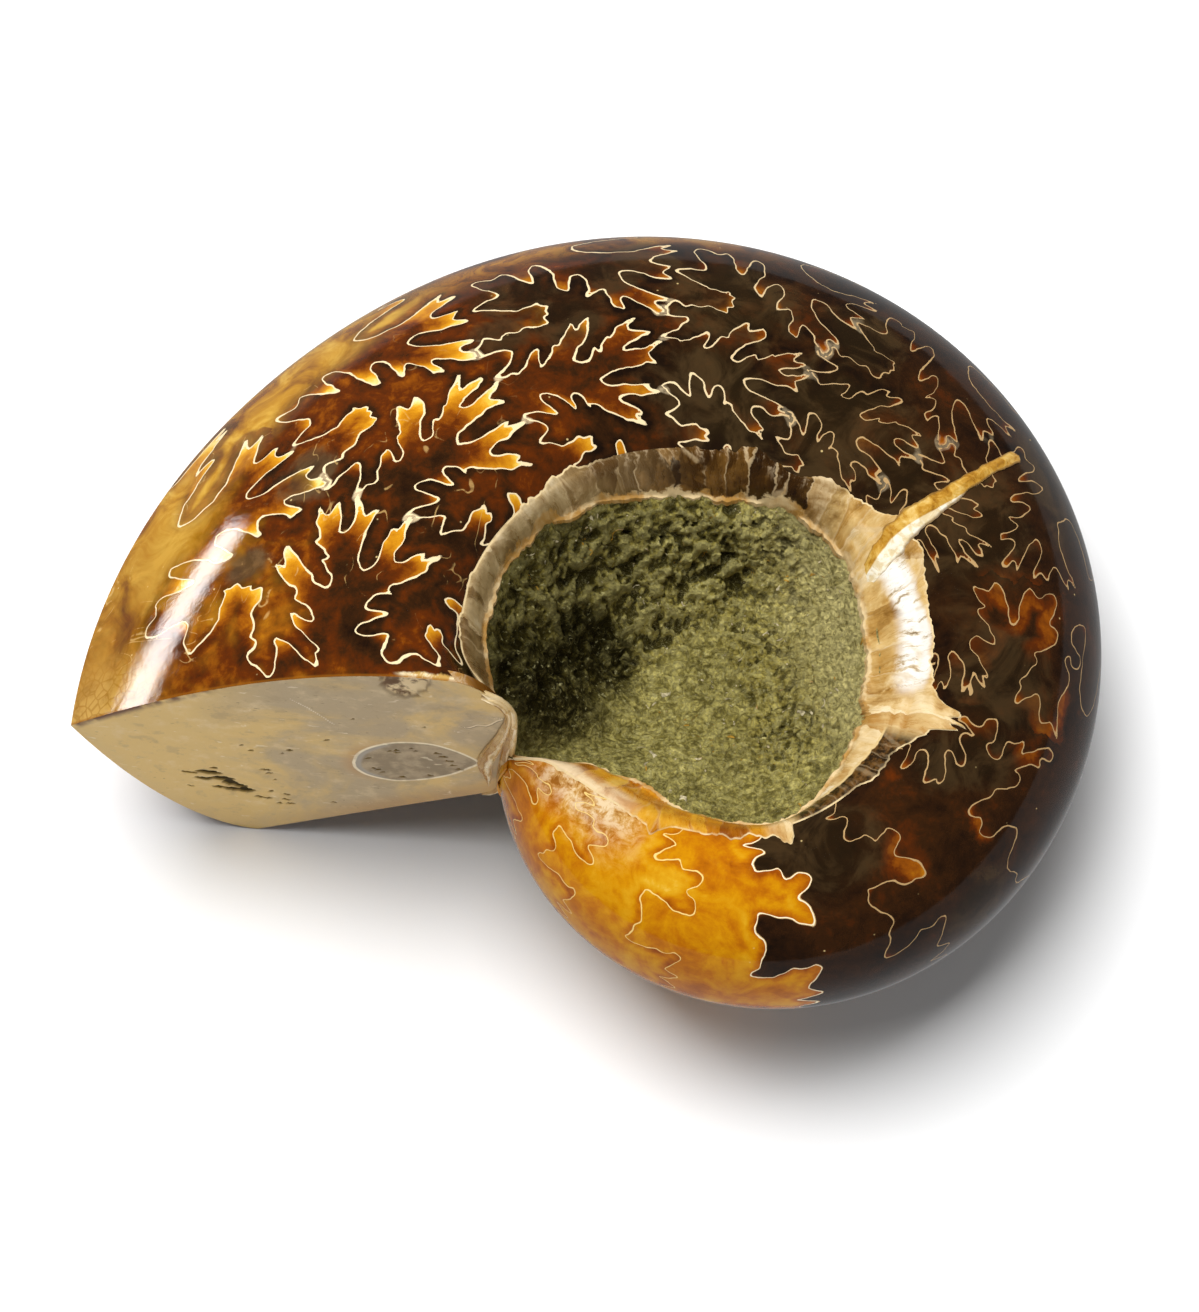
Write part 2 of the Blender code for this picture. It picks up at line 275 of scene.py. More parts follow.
# One suture, from the keel to the rim, as (degrees back along the coil, steps from the keel);
# a flank is 46 steps wide. Lobes point backwards and end in teeth; saddles are round-ended.
FLANK_STEPS = 46
LATE_SUTURE = [
    (52, 0), (52.3, 0.8), (54, 1.2), (57, 1.5), (60, 2), (58, 2.8), (59.5, 3.8), (56.5, 4), (54, 4.3),
    (53, 5), (54.5, 5.8), (55.2, 7.2), (52, 7.5), (49, 7.9), (47, 8.5), (46.8, 9.8), (47.8, 11.7),
    (50, 12.8), (52.5, 13), (55, 12.3), (57.9, 11.2), (56.8, 12.2), (56.4, 12.9), (58.4, 13.3), (57, 13.9),
    (54.8, 14.8), (54.1, 15.6), (55, 16.5), (57, 17.2), (56, 18), (55.6, 18.8), (56.8, 20), (55, 19.8),
    (53, 18.7), (51.5, 17.6), (49.8, 17.5), (49.2, 18.5), (50, 20), (51.5, 21.6), (53.5, 23), (54.8, 23.9),
    (53, 24), (52.7, 24.7), (53.5, 25.8), (52.6, 26.6), (51, 25), (49.5, 23.3), (48.8, 23.1), (48.2, 24),
    (48, 25.5), (47.3, 25.2), (46.7, 24.9), (47, 23), (46.6, 21.3), (45.8, 21.2), (44.2, 22.3),
    (44.8, 20.5), (45.3, 18.5), (44.7, 17), (43.7, 17.2), (42.8, 18.7), (42, 20.2), (41.2, 19), (41.6, 17),
    (42.1, 14.8), (41.5, 12.3), (40.8, 11.9), (40, 13), (39.5, 15.3), (39, 16.2), (38.5, 15.5), (38, 13),
    (37.3, 11.3), (36.5, 11.8), (35.7, 12), (35, 11.2), (33.8, 11), (33.4, 12), (33.9, 14.5), (34.4, 16),
    (33.5, 16.7), (31.8, 16.6), (30.3, 17), (31, 18), (32.3, 19.5), (33.5, 20.2), (33.9, 20.7), (35, 20.6),
    (36.3, 20.9), (37.2, 20.6), (37.1, 21.3), (38, 21.8), (37.3, 22.6), (37.5, 23.3), (36.5, 23.6),
    (36.6, 24.8), (35, 24.8), (33.5, 24.2), (32, 24.6), (30.3, 24.1), (29.2, 24.4), (28, 23.1), (26.6, 24),
    (24.9, 25), (26, 25.7), (28.2, 26.2), (29.4, 26.8), (27.5, 28.3), (25.5, 28.9), (24.3, 29.4),
    (25.5, 29.9), (26.6, 30), (27.2, 30.6), (29, 30), (31, 29), (32.8, 28.4), (32.3, 29.5), (31.4, 31),
    (33, 30.8), (34, 30), (35.2, 28.7), (36.3, 28.7), (37.5, 27.5), (38.8, 26.2), (39.9, 25.8), (39.7, 27),
    (42.2, 26), (41.8, 27.3), (40.5, 28.5), (39, 29.5), (37.5, 30.7), (36.5, 31.9), (38, 32.2),
    (39.5, 31.4), (40.5, 30.8), (40.8, 31.4), (42, 30.8), (43.5, 29.7), (44.1, 29.9), (46, 28.7),
    (47.3, 28.3), (49.2, 27.6), (47.5, 29.3), (50.5, 29.6), (48.8, 30.5), (46.5, 31), (45, 31.8),
    (46.5, 32.3), (49, 31.9), (52, 31.2), (50, 32.4), (48.8, 33), (50, 34.2), (48, 34), (45, 34.2),
    (42, 34.3), (40, 34.6), (38.6, 35.4), (40.2, 36.4), (43, 36.6), (45.2, 36.8), (47.5, 36.9),
    (46.3, 37.5), (50, 37.9), (47, 38.2), (44.8, 38.5), (43, 38.2), (41, 38.3), (40.2, 39), (41.5, 39.8),
    (43.5, 41), (42, 41.2), (43.8, 42.4), (41.5, 41.8), (40, 41.8), (39.2, 41.4), (37.5, 40.2),
    (36.3, 39.3), (36, 38.7), (34.8, 38.4), (34.3, 38.8), (34.3, 37.5), (33.8, 36.5), (33, 36.3),
    (32, 36.8), (31.3, 38.2), (30.8, 38.3), (30.3, 37), (29.8, 35.8), (28.3, 35), (27.4, 35.6),
    (27.4, 37.5), (27.2, 38.3), (26, 37.8), (24.5, 36.5), (22.3, 36.4), (23.3, 38), (24, 39.5), (22.5, 40),
    (20.7, 40.4), (22.3, 41.3), (23.5, 42), (25.3, 42), (27.3, 41.8), (28.2, 42.2), (29.8, 42.4),
    (28.8, 43.2), (29.5, 43.7), (28, 44), (26.5, 43.7), (24, 44.3), (22.3, 44.5), (23.5, 45.3), (26, 45.6),
    (30, 46), (33.8, 45.6), (34.3, 44.4), (35.6, 43.8), (36.4, 44.8), (36, 46), (35, 48), (36, 60),
    (34, 120),
]
# The same on the oldest part of the whorl, where the young animal's walls were less folded.
EARLY_SUTURE = [
    (49, 0), (46, 2), (45.5, 3.5), (48, 5.5), (47, 8), (46, 10), (45.8, 12), (47, 13.3), (48.5, 12.4),
    (51, 12.8), (53, 11.6), (55.5, 10.6), (58.3, 10.2), (58.6, 11.2), (57.6, 14), (57.2, 16), (56, 18),
    (56.2, 20), (58, 22.5), (57.8, 25), (57.4, 26.3), (55, 25.8), (52, 25.2), (50, 23.6), (48, 23),
    (46.4, 22.8), (45.6, 24), (46, 26), (48.2, 28), (48.4, 29.3), (46.4, 30.3), (45.1, 31.8), (45.4, 33.4),
    (47.2, 34.4), (48.8, 34.1), (50.8, 33.7), (51.6, 34.8), (52.6, 36.1), (55, 35.8), (57.4, 35.4),
    (58.4, 36.8), (57, 38.4), (54.6, 39.8), (55.6, 41.2), (59.4, 42.4), (57, 43), (55, 43.9), (53.5, 45),
    (52, 47), (51, 60), (50, 120),
]
# Two between them, each in its own place, with broad saddles and the last of the finer teeth.
FIRST_MIDDLE_SUTURE = [
    (173, 0), (175, 3), (177, 6), (181, 8.5), (185, 10.3), (187, 13), (185.3, 15.2), (181, 16.2),
    (176, 15.8), (173.2, 16), (173.2, 18), (174.8, 19.6), (176.6, 20), (177.8, 18.6), (178.6, 17.1),
    (180.4, 17.2), (181, 18.7), (179.8, 20), (180.6, 20.9), (182.6, 19.4), (184.5, 19.2), (187, 20.3),
    (190, 20.4), (192.5, 20.1), (194.8, 19.4), (193.4, 20.7), (192.6, 21.8), (193.6, 23.2), (192, 24.2),
    (189, 24.8), (188.7, 26), (190.2, 27.1), (192, 28.5), (191.4, 29.5), (189, 28.9), (187.4, 29.3),
    (185.8, 28.4), (183.6, 27), (182, 26.1), (180.3, 26.7), (179.2, 24.8), (177.7, 23.1), (176, 23.1),
    (175.5, 24.2), (174.7, 24.4), (172.6, 23.1), (170.6, 22.4), (168.7, 22.7), (169, 24.1), (170.1, 25.5),
    (167.6, 26.7), (169, 28.2), (171.5, 29.3), (174.5, 30.2), (174.3, 31.2), (170.2, 31.8), (166.3, 32.2),
    (165.4, 33.1), (167, 34.1), (165.8, 35.5), (164.6, 36.4), (168, 36.4), (171, 35.6), (171.6, 36.8),
    (174, 36), (177, 34.2), (180, 33.5), (179.6, 35), (178.2, 36.4), (180, 37.3), (183, 36.6), (186, 35.4),
    (188, 34.8), (187.2, 35.9), (190.2, 34.9), (188.2, 36.4), (186.6, 37.2), (189.2, 37.1), (192.6, 36.5),
    (190.6, 37.4), (192.4, 37.9), (186, 38.8), (181.7, 40), (183, 41), (186.5, 40.9), (190, 40.5),
    (193, 40.6), (190.4, 41.6), (193.8, 42.5), (190.5, 43.7), (186, 43.3), (183, 43), (182.4, 44),
    (185, 45.5), (184.5, 50), (183, 120),
]
SECOND_MIDDLE_SUTURE = [
    (212, 0), (214.8, 3), (216.5, 6), (216, 8), (217.7, 10.5), (217, 13), (214.6, 14.5), (213, 15.7),
    (212.3, 17), (213.3, 18.8), (215, 19.7), (217, 20.3), (218, 21.5), (218.2, 22.8), (216.6, 23.5),
    (216, 24.6), (217.2, 26), (216.6, 27), (215.2, 27), (213.5, 26.2), (211, 24.9), (209.3, 25.1),
    (208, 24), (206.5, 22.1), (205, 21.6), (204.3, 22.6), (203.8, 24), (202.5, 23), (201.2, 21.2),
    (200.6, 19.8), (199.5, 20.8), (198.4, 18.3), (197.2, 18.9), (197.6, 21), (199, 22.5), (200.8, 24.2),
    (198.8, 25), (200, 26.4), (200.5, 28), (203, 28), (204, 29.5), (202.5, 31), (200.5, 30.3), (198, 30.8),
    (196.5, 31.6), (197.2, 32.8), (199.2, 33.1), (199.4, 34.6), (198.7, 36), (200.4, 36.2), (201.5, 33.4),
    (202.7, 35.2), (204.4, 34.9), (206.5, 33.6), (208.7, 32.8), (209, 34), (207.5, 35.5), (208.2, 36.4),
    (210, 36), (212, 34.9), (214.5, 34.1), (216, 34.7), (215.6, 35.7), (218.6, 36.5), (217, 37.4),
    (213, 38), (210.9, 39.2), (211.6, 40.4), (214, 40.6), (216.5, 40.7), (218.5, 41.4), (216.5, 42.2),
    (212.5, 42.5), (210.5, 43.3), (211.6, 44.6), (213, 46), (213, 50), (212, 120),
]
# Each suture: its line, how far back it is set, and how far its pattern is moved from the keel.
SUTURES = [
    (LATE_SUTURE, -27.2, -2.8), (LATE_SUTURE, 0, 0), (LATE_SUTURE, 28, 1.8), (LATE_SUTURE, 55.6, 3.2),
    (LATE_SUTURE, 82, 5), (LATE_SUTURE, 109, 6.5), (FIRST_MIDDLE_SUTURE, 0, 0),
    (SECOND_MIDDLE_SUTURE, 0, 0), (EARLY_SUTURE, 186.2, 0.5), (EARLY_SUTURE, 211, 0),
    (EARLY_SUTURE, 237.2, 0.5), (EARLY_SUTURE, 262.5, 1.5), (EARLY_SUTURE, 284, 3),
]
# The first suture with yellow chambers behind it, how far from a line its place is kept, by how
# much a chamber's number shifts over that distance, and the least gap between two lines.
YELLOW_FROM = 9
SUTURE_BLEND_MM = 2.0
CHAMBER_HALF = 0.49
SUTURE_GAP_MM = 0.30
FAR_MM = 1e3


def rounded_line(points, cuts=3):
    """A smooth line through points, each stretch cut into several."""
    p = np.array(points, float)
    p = np.vstack([2 * p[0] - p[1], p, 2 * p[-1] - p[-2]])
    t = (np.arange(cuts) / cuts)[None, :, None]
    a, b, c, d = (p[k : len(p) - 3 + k, None, :] for k in range(4))
    curve = 0.5 * (2 * b + (c - a) * t + (2 * a - 5 * b + 4 * c - d) * t**2 + (3 * b - a - 3 * c + d) * t**3)
    return np.vstack([curve.reshape(-1, p.shape[1]), p[-2:-1]])


def side_and_distance(line, angle, steps, degree_mm, step_mm):
    """Distance in mm to a line: above 0 on a suture's older side, or inside a closed outline."""
    nearest = np.full(angle.shape, 1e9)
    older = np.zeros(angle.shape, bool)
    for (x0, y0), (x1, y1) in zip(line[:-1], line[1:]):
        run, rise = (x1 - x0) * degree_mm, (y1 - y0) * step_mm
        from_x, from_y = (angle - x0) * degree_mm, (steps - y0) * step_mm
        share = np.clip((from_x * run + from_y * rise) / (run * run + rise * rise + 1e-12), 0, 1)
        nearest = np.minimum(nearest, (from_x - share * run) ** 2 + (from_y - share * rise) ** 2)
        if y0 != y1:
            crossed = ((y0 <= steps) != (y1 <= steps)) & (x0 + (steps - y0) * (x1 - x0) / (y1 - y0) < angle)
            older ^= crossed
    return np.sqrt(nearest) * np.where(older, 1.0, -1.0)


def draw_sutures(angle, steps, degree_mm, step_mm, points):
    """The chamber at each point, as a whole number that turns over a half at each suture's line,
    how many sutures lie before it, and the gap in mm between the two sutures nearest to it."""
    wobble_x = clouds(points, 0.006, 1) * 0.55 + clouds(points, 0.0012, 2, 2) * 0.18
    wobble_y = clouds(points, 0.006, 3) * 0.55 + clouds(points, 0.0012, 4, 2) * 0.18
    angle = angle + wobble_x / degree_mm
    steps = steps + wobble_y * ease(steps, 0, 3) / step_mm
    closest = np.full(angle.shape, -FAR_MM)
    nearest = np.zeros(angle.shape)
    count = np.zeros(angle.shape)
    before = np.full(angle.shape, FAR_MM)
    second = np.full(angle.shape, FAR_MM)
    for number, (pattern, back, moved) in enumerate(SUTURES):
        line = rounded_line(pattern)
        line[:, 1] += moved * ease(line[:, 1], 0, 12) * np.maximum(1 - (line[:, 1] / 50) ** 2, 0)
        line[:, 0] += back
        start, end = line[:, 0].min() - 7, line[:, 0].max() + 7
        inside = (angle > start) & (angle < end)
        distance = np.where(angle >= end, FAR_MM, -FAR_MM)
        distance[inside] = side_and_distance(
            line, angle[inside], steps[inside], degree_mm[inside], step_mm[inside]
        )
        distance = np.minimum(distance, before - SUTURE_GAP_MM)
        before = distance
        count += distance > 0
        closer = np.abs(distance) < np.abs(closest)
        second = np.where(closer, np.abs(closest), np.minimum(second, np.abs(distance)))
        closest = np.where(closer, distance, closest)
        nearest = np.where(closer, number, nearest)
    chamber = nearest + 0.5 + CHAMBER_HALF * np.clip(closest / SUTURE_BLEND_MM, -1, 1)
    return chamber, count, np.minimum(np.abs(closest) + second, 5)


# Patches as (degrees back, steps from the keel, reach in mm): grey-olive murk, and warm stone.
MURK = [
    (64, 20, 5), (67, 26, 4), (58, 25, 3), (88, 39, 7), (93, 24, 7), (82, 17, 4), (26, 22, 3.5),
    (13, 20, 2.5), (76, 20, 3), (116, 37, 8), (113, 23, 5), (132, 38, 5), (153, 33, 7), (152, 12, 7),
    (188, 32, 6), (205, 31, 4), (212, 36, 3), (250, 38, 6), (263, 37, 4), (225, 10, 4),
]
WARM = [
    (174, 27, 5.5), (168, 33, 3.5), (191, 22, 4.5), (198, 24, 3), (95, 33, 5), (124, 35, 3.5),
    (232, 27, 3.5), (216, 23, 2.5), (199, 34, 3), (84, 33, 5), (105, 41, 3), (182, 37, 3), (228, 41, 3),
]


def nearness(patches, angle, steps, degree_mm, step_mm):
    """About 1 in the middle of the nearest patch, 0 at its edge and less outside."""
    field = np.full(angle.shape, -2.0)
    for back, up, reach in patches:
        away = np.hypot((angle - back) * degree_mm, (steps - up) * step_mm)
        field = np.maximum(field, 1 - away / reach)
    return field


# The way the sawn face looks and the way across it, in the coil's axes, and the first of them
# where the fossil lies.
CUT_ANGLE = math.radians(CUT_LOOKS_TO)
SQUARE_ON = np.array([math.cos(CUT_ANGLE), math.sin(CUT_ANGLE), 0.0])
SIDEWAYS = np.array([SQUARE_ON[1], -SQUARE_ON[0], 0.0])
AHEAD = LEAN @ Vector(SQUARE_ON)


def grid_of(points, values):
    """A sheet over a grid of points, with values kept on its points by name."""
    columns, rows = len(points) - 1, len(points[0]) - 1
    mesh = bmesh.new()
    bmesh.ops.create_grid(mesh, x_segments=columns, y_segments=rows, size=1)
    layers = {key: mesh.verts.layers.float.new(key) for key in values}
    place = {}
    for vertex in mesh.verts:
        across = round((vertex.co.x + 1) / 2 * columns)
        down = round((vertex.co.y + 1) / 2 * rows)
        vertex.co = points[across][down]
        for key, layer in layers.items():
            vertex[layer] = values[key][across][down]
        place[across, down] = vertex
    return mesh, place


def open_edges(mesh):
    return [edge for edge in mesh.edges if edge.is_boundary]


def close_behind(mesh, edges, inwards, share):
    """Closes a sheet's edges with a wall that leans in to a face behind them."""
    step = bmesh.ops.extrude_edge_only(mesh, edges=edges)["geom"]
    moved = [v for v in step if isinstance(v, bmesh.types.BMVert)]
    middle = sum((v.co for v in moved), Vector()) / len(moved)
    bmesh.ops.scale(mesh, verts=moved, vec=(share,) * 3, space=Matrix.Translation(-middle))
    bmesh.ops.translate(mesh, verts=moved, vec=inwards)
    bmesh.ops.holes_fill(mesh, edges=[e for e in step if isinstance(e, bmesh.types.BMEdge)], sides=0)


def closed_strip(name, points, values, recess):
    """A sheet over a grid of points, closed behind by a strip between its two long edges, and by
    a face at each end, set back by the recess."""
    columns, rows = len(points) - 1, len(points[0]) - 1
    column = [[across] * (rows + 1) for across in range(columns + 1)]
    mesh, place = grid_of(points, {**values, "column": column})
    number = mesh.verts.layers.float["column"]
    far = [place[across, rows] for across in range(columns + 1)]
    far_edges = [mesh.edges.get(pair) for pair in zip(far[:-1], far[1:])]
    strip = bmesh.ops.extrude_edge_only(mesh, edges=far_edges)["geom"]
    added = [v for v in strip if isinstance(v, bmesh.types.BMVert)]
    bmesh.ops.weld_verts(mesh, targetmap={v: place[round(v[number]), 0] for v in added})
    for end, inwards in ((0, -AHEAD), (columns, AHEAD)):
        corners = {place[end, down] for down in range(rows + 1)}
        edges = [edge for edge in open_edges(mesh) if corners.issuperset(edge.verts)]
        if recess:
            close_behind(mesh, edges, inwards * recess, LEAN_IN)
        else:
            bmesh.ops.holes_fill(mesh, edges=edges, sides=0)
    mesh.verts.layers.float.remove(number)
    return closed(name, mesh)


def finished(name, mesh, sharp=38):
    """A mesh made an object, smooth except where faces meet at more than the sharp angle."""
    data = bpy.data.meshes.new(name)
    mesh.to_mesh(data)
    mesh.free()
    data.shade_smooth()
    data.set_sharp_from_angle(angle=math.radians(sharp))
    piece = bpy.data.objects.new(name, data)
    bpy.context.scene.collection.objects.link(piece)
    return piece


def closed(name, mesh, sharp=38):
    """A closed piece, with every face turned outwards. Recalculating turns a deep cup inside out,
    which its volume then gives away."""
    bmesh.ops.recalc_face_normals(mesh, faces=mesh.faces)
    if mesh.calc_volume(signed=True) < 0:
        bmesh.ops.reverse_faces(mesh, faces=mesh.faces)
    return finished(name, mesh, sharp)


def kept(piece, material):
    """Gives a piece its material, puts it under the root body and hides the imported ammonite part."""
    piece.data.materials.append(material)
    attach(piece, "root")
    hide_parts("ammonite")


def whorl_half(name, profile, rows):
    """A half of the whorl. Both halves count their steps by the upper flank's width."""
    turn = spaced_turns(COLUMNS)
    radius, height, distance = evenly(*profile(turn), rows)
    upper_distance = evenly(*upper_profile(turn), 1)[2]
    angle = growth(radius, turn[:, None])
    step_mm = upper_distance[:, -1:] * 1000 / FLANK_STEPS * np.ones_like(radius)
    steps = distance * 1000 / step_mm
    degree_mm = np.radians(1) * radius * 1000
    shape = upright(radius, bearing(radius, turn[:, None]), height)
    behind_cut = np.where(turn[:, None] < NEAR_CUT_TURNS, CUT_OFFSET - shape @ SQUARE_ON, FAR_BEHIND_CUT)
    chamber, count, gap = draw_sutures(angle, steps, degree_mm, step_mm, shape)
    values = {
        "chamber": chamber,
        "gap": gap,
        "near_older": blurred(count, 4.0),
        "wide_older": blurred(count, 10.0),
        "growth": angle,
        "steps": steps,
        "behind_cut": behind_cut * 1000,
        "murk": nearness(MURK, angle, steps, degree_mm, step_mm),
        "warm": nearness(WARM, angle, steps, degree_mm, step_mm),
    }
    return map_unrolled(closed_strip(name, laid_down(shape), values, FACE_RECESS))


def map_unrolled(piece):
    """Gives a whorl half a map with its surface unrolled round the coil's axis, and the faces
    that close it behind in a strip below."""
    data = piece.data
    corner_vertex = np.empty(len(data.loops), int)
    data.loops.foreach_get("vertex_index", corner_vertex)
    first = np.empty(len(data.polygons), int)
    corners = np.empty(len(data.polygons), int)
    data.polygons.foreach_get("loop_start", first)
    data.polygons.foreach_get("loop_total", corners)
    place = np.empty(len(data.vertices) * 3)
    data.vertices.foreach_get("co", place)
    angle, steps = np.empty(len(data.vertices)), np.empty(len(data.vertices))
    data.attributes["growth"].data.foreach_get("value", angle)
    data.attributes["steps"].data.foreach_get("value", steps)
    coil = (place.reshape(-1, 3) - np.array(AXIS_FOOT)) @ np.array(LEAN)
    reach = np.hypot(coil[:, 0], coil[:, 1]) - MAP_FALL * np.abs(coil[:, 2]) + MAP_EYE
    turned = np.radians((TIP_BEARING - angle) * MAP_ROUND)
    flat = np.stack([reach * np.cos(turned), reach * np.sin(turned)], axis=-1)
    flat -= flat.min(axis=0)
    flat = np.array([0.01, 0.05]) + flat / flat.max() * 0.94
    behind = np.stack([angle - angle.min(), steps / steps.max()], axis=-1)
    behind = 0.01 + behind / behind[:, 0].max() * [0.98, 0.02 * behind[:, 0].max()]
    corner_steps = steps[corner_vertex]
    spans = np.maximum.reduceat(corner_steps, first) - np.minimum.reduceat(corner_steps, first)
    hidden = np.repeat(spans > FLANK_STEPS / 2, corners)
    drawn = np.where(hidden[:, None], behind[corner_vertex], flat[corner_vertex])
    data.uv_layers.new(name="OFBake").uv.foreach_set("vector", drawn.ravel())
    return piece


class Value:
    """A value inside a material. Arithmetic with it adds a node that works the result out."""

    def __init__(self, shader, socket):
        self.shader, self.socket = shader, socket

    def __add__(self, other):
        return self.shader.math("ADD", self, other)

    def __sub__(self, other):
        return self.shader.math("SUBTRACT", self, other)

    def __rsub__(self, other):
        return self.shader.math("SUBTRACT", other, self)

    def __mul__(self, other):
        return self.shader.math("MULTIPLY", self, other)

    def __truediv__(self, other):
        return self.shader.math("DIVIDE", self, other)

    def __abs__(self):
        return self.shader.math("ABSOLUTE", self)


class Shader:
    """A material's nodes, added one after another, and the colour that is built up by layers."""

    def __init__(self, name):
        self.material = bpy.data.materials.new(name)
        self.material.use_nodes = True
        self.tree = self.material.node_tree
        self.surface = self.tree.nodes["Principled BSDF"]
        self.place = self.added("TexCoord", {}, "Object")
        self.colour = None

    def link(self, value, socket):
        """Feeds a socket from another node, or with a number or a colour of its own."""
        if isinstance(value, Value):
            self.tree.links.new(value.socket, socket)
        elif isinstance(value, tuple):
            socket.default_value = (*value, 1)
        else:
            socket.default_value = value

    def added(self, kind, inputs, wanted, **settings):
        """The wanted output of a new node; inputs are given by name or number."""
        made = self.tree.nodes.new("ShaderNode" + kind)
        for key, value in settings.items():
            setattr(made, key, value)
        for key, value in inputs.items():
            self.link(value, made.inputs[key])
        return Value(self, made.outputs[wanted])

    def kept_value(self, name):
        return self.added("Attribute", {}, "Fac", attribute_name=name)

    def math(self, operation, *inputs):
        return self.added("Math", dict(enumerate(inputs)), 0, operation=operation)

    def spread(self, value, start, end, low=0.0, high=1.0, smooth=True):
        """Value taken from start..end to low..high."""
        inputs = dict(enumerate((value, start, end, low, high)))
        return self.added("MapRange", inputs, 0, interpolation_type="SMOOTHSTEP" if smooth else "LINEAR")

    def noise(self, size, detail=3.0, rough=0.55, warp=0.0, place=None):
        inputs = {"Vector": place or self.place, "Scale": 1 / size, "Detail": detail}
        return self.added("TexNoise", {**inputs, "Roughness": rough, "Distortion": warp}, "Fac")

    def cells(self, size, feature="F1", place=None, wanted="Distance"):
        inputs = {"Vector": place or self.place, "Scale": 1 / size}
        return self.added("TexVoronoi", inputs, wanted, feature=feature)

    def flat_place(self, across, up):
        """A place for noise or cells to be read at, from two values kept on the surface."""
        return self.added("CombineXYZ", {0: across, 1: up}, 0)

    def ramp(self, value, stops):
        """Value turned into a colour by (value, colour) stops; one number as a colour is a grey."""
        made = self.tree.nodes.new("ShaderNodeValToRGB")
        self.link(value, made.inputs["Fac"])
        elements = made.color_ramp.elements
        while len(elements) < len(stops):
            elements.new(0.5)
        for element, (at, _) in zip(elements, stops):
            element.position = at
        for element, (_, colour) in zip(elements, stops):
            element.color = (*colour, 1) if isinstance(colour, tuple) else (colour, colour, colour, 1)
        return Value(self, made.outputs["Color"])

    def mix(self, share, first, second):
        return self.added("Mix", {0: share, 6: first, 7: second}, 2, data_type="RGBA")

    def lay(self, share, colour):
        """Lays a colour over those before it; share is how much of it shows."""
        self.colour = self.mix(share, self.colour, colour)

    def bump(self, height, depth, strength=1.0):
        inputs = {"Height": height, "Distance": depth, "Strength": strength}
        self.link(self.added("Bump", inputs, "Normal"), self.surface.inputs["Normal"])

    def finish(self, roughness, **fixed):
        for key, value in {"Base Color": self.colour, "Roughness": roughness, **fixed}.items():
            self.link(value, self.surface.inputs[key.replace("_", " ")])
        return self.material


# The stone of the whorl, from almost black through amber to pale yellow.
AMBER = [
    (0.0, (0.008, 0.003, 0.001)), (0.14, (0.030, 0.010, 0.002)), (0.30, (0.100, 0.019, 0.001)),
    (0.42, (0.24, 0.062, 0.002)), (0.55, (0.42, 0.150, 0.004)), (0.68, (0.58, 0.25, 0.008)),
    (0.80, (0.72, 0.43, 0.045)), (0.92, (0.82, 0.64, 0.26)), (1.0, (0.86, 0.78, 0.56)),
]


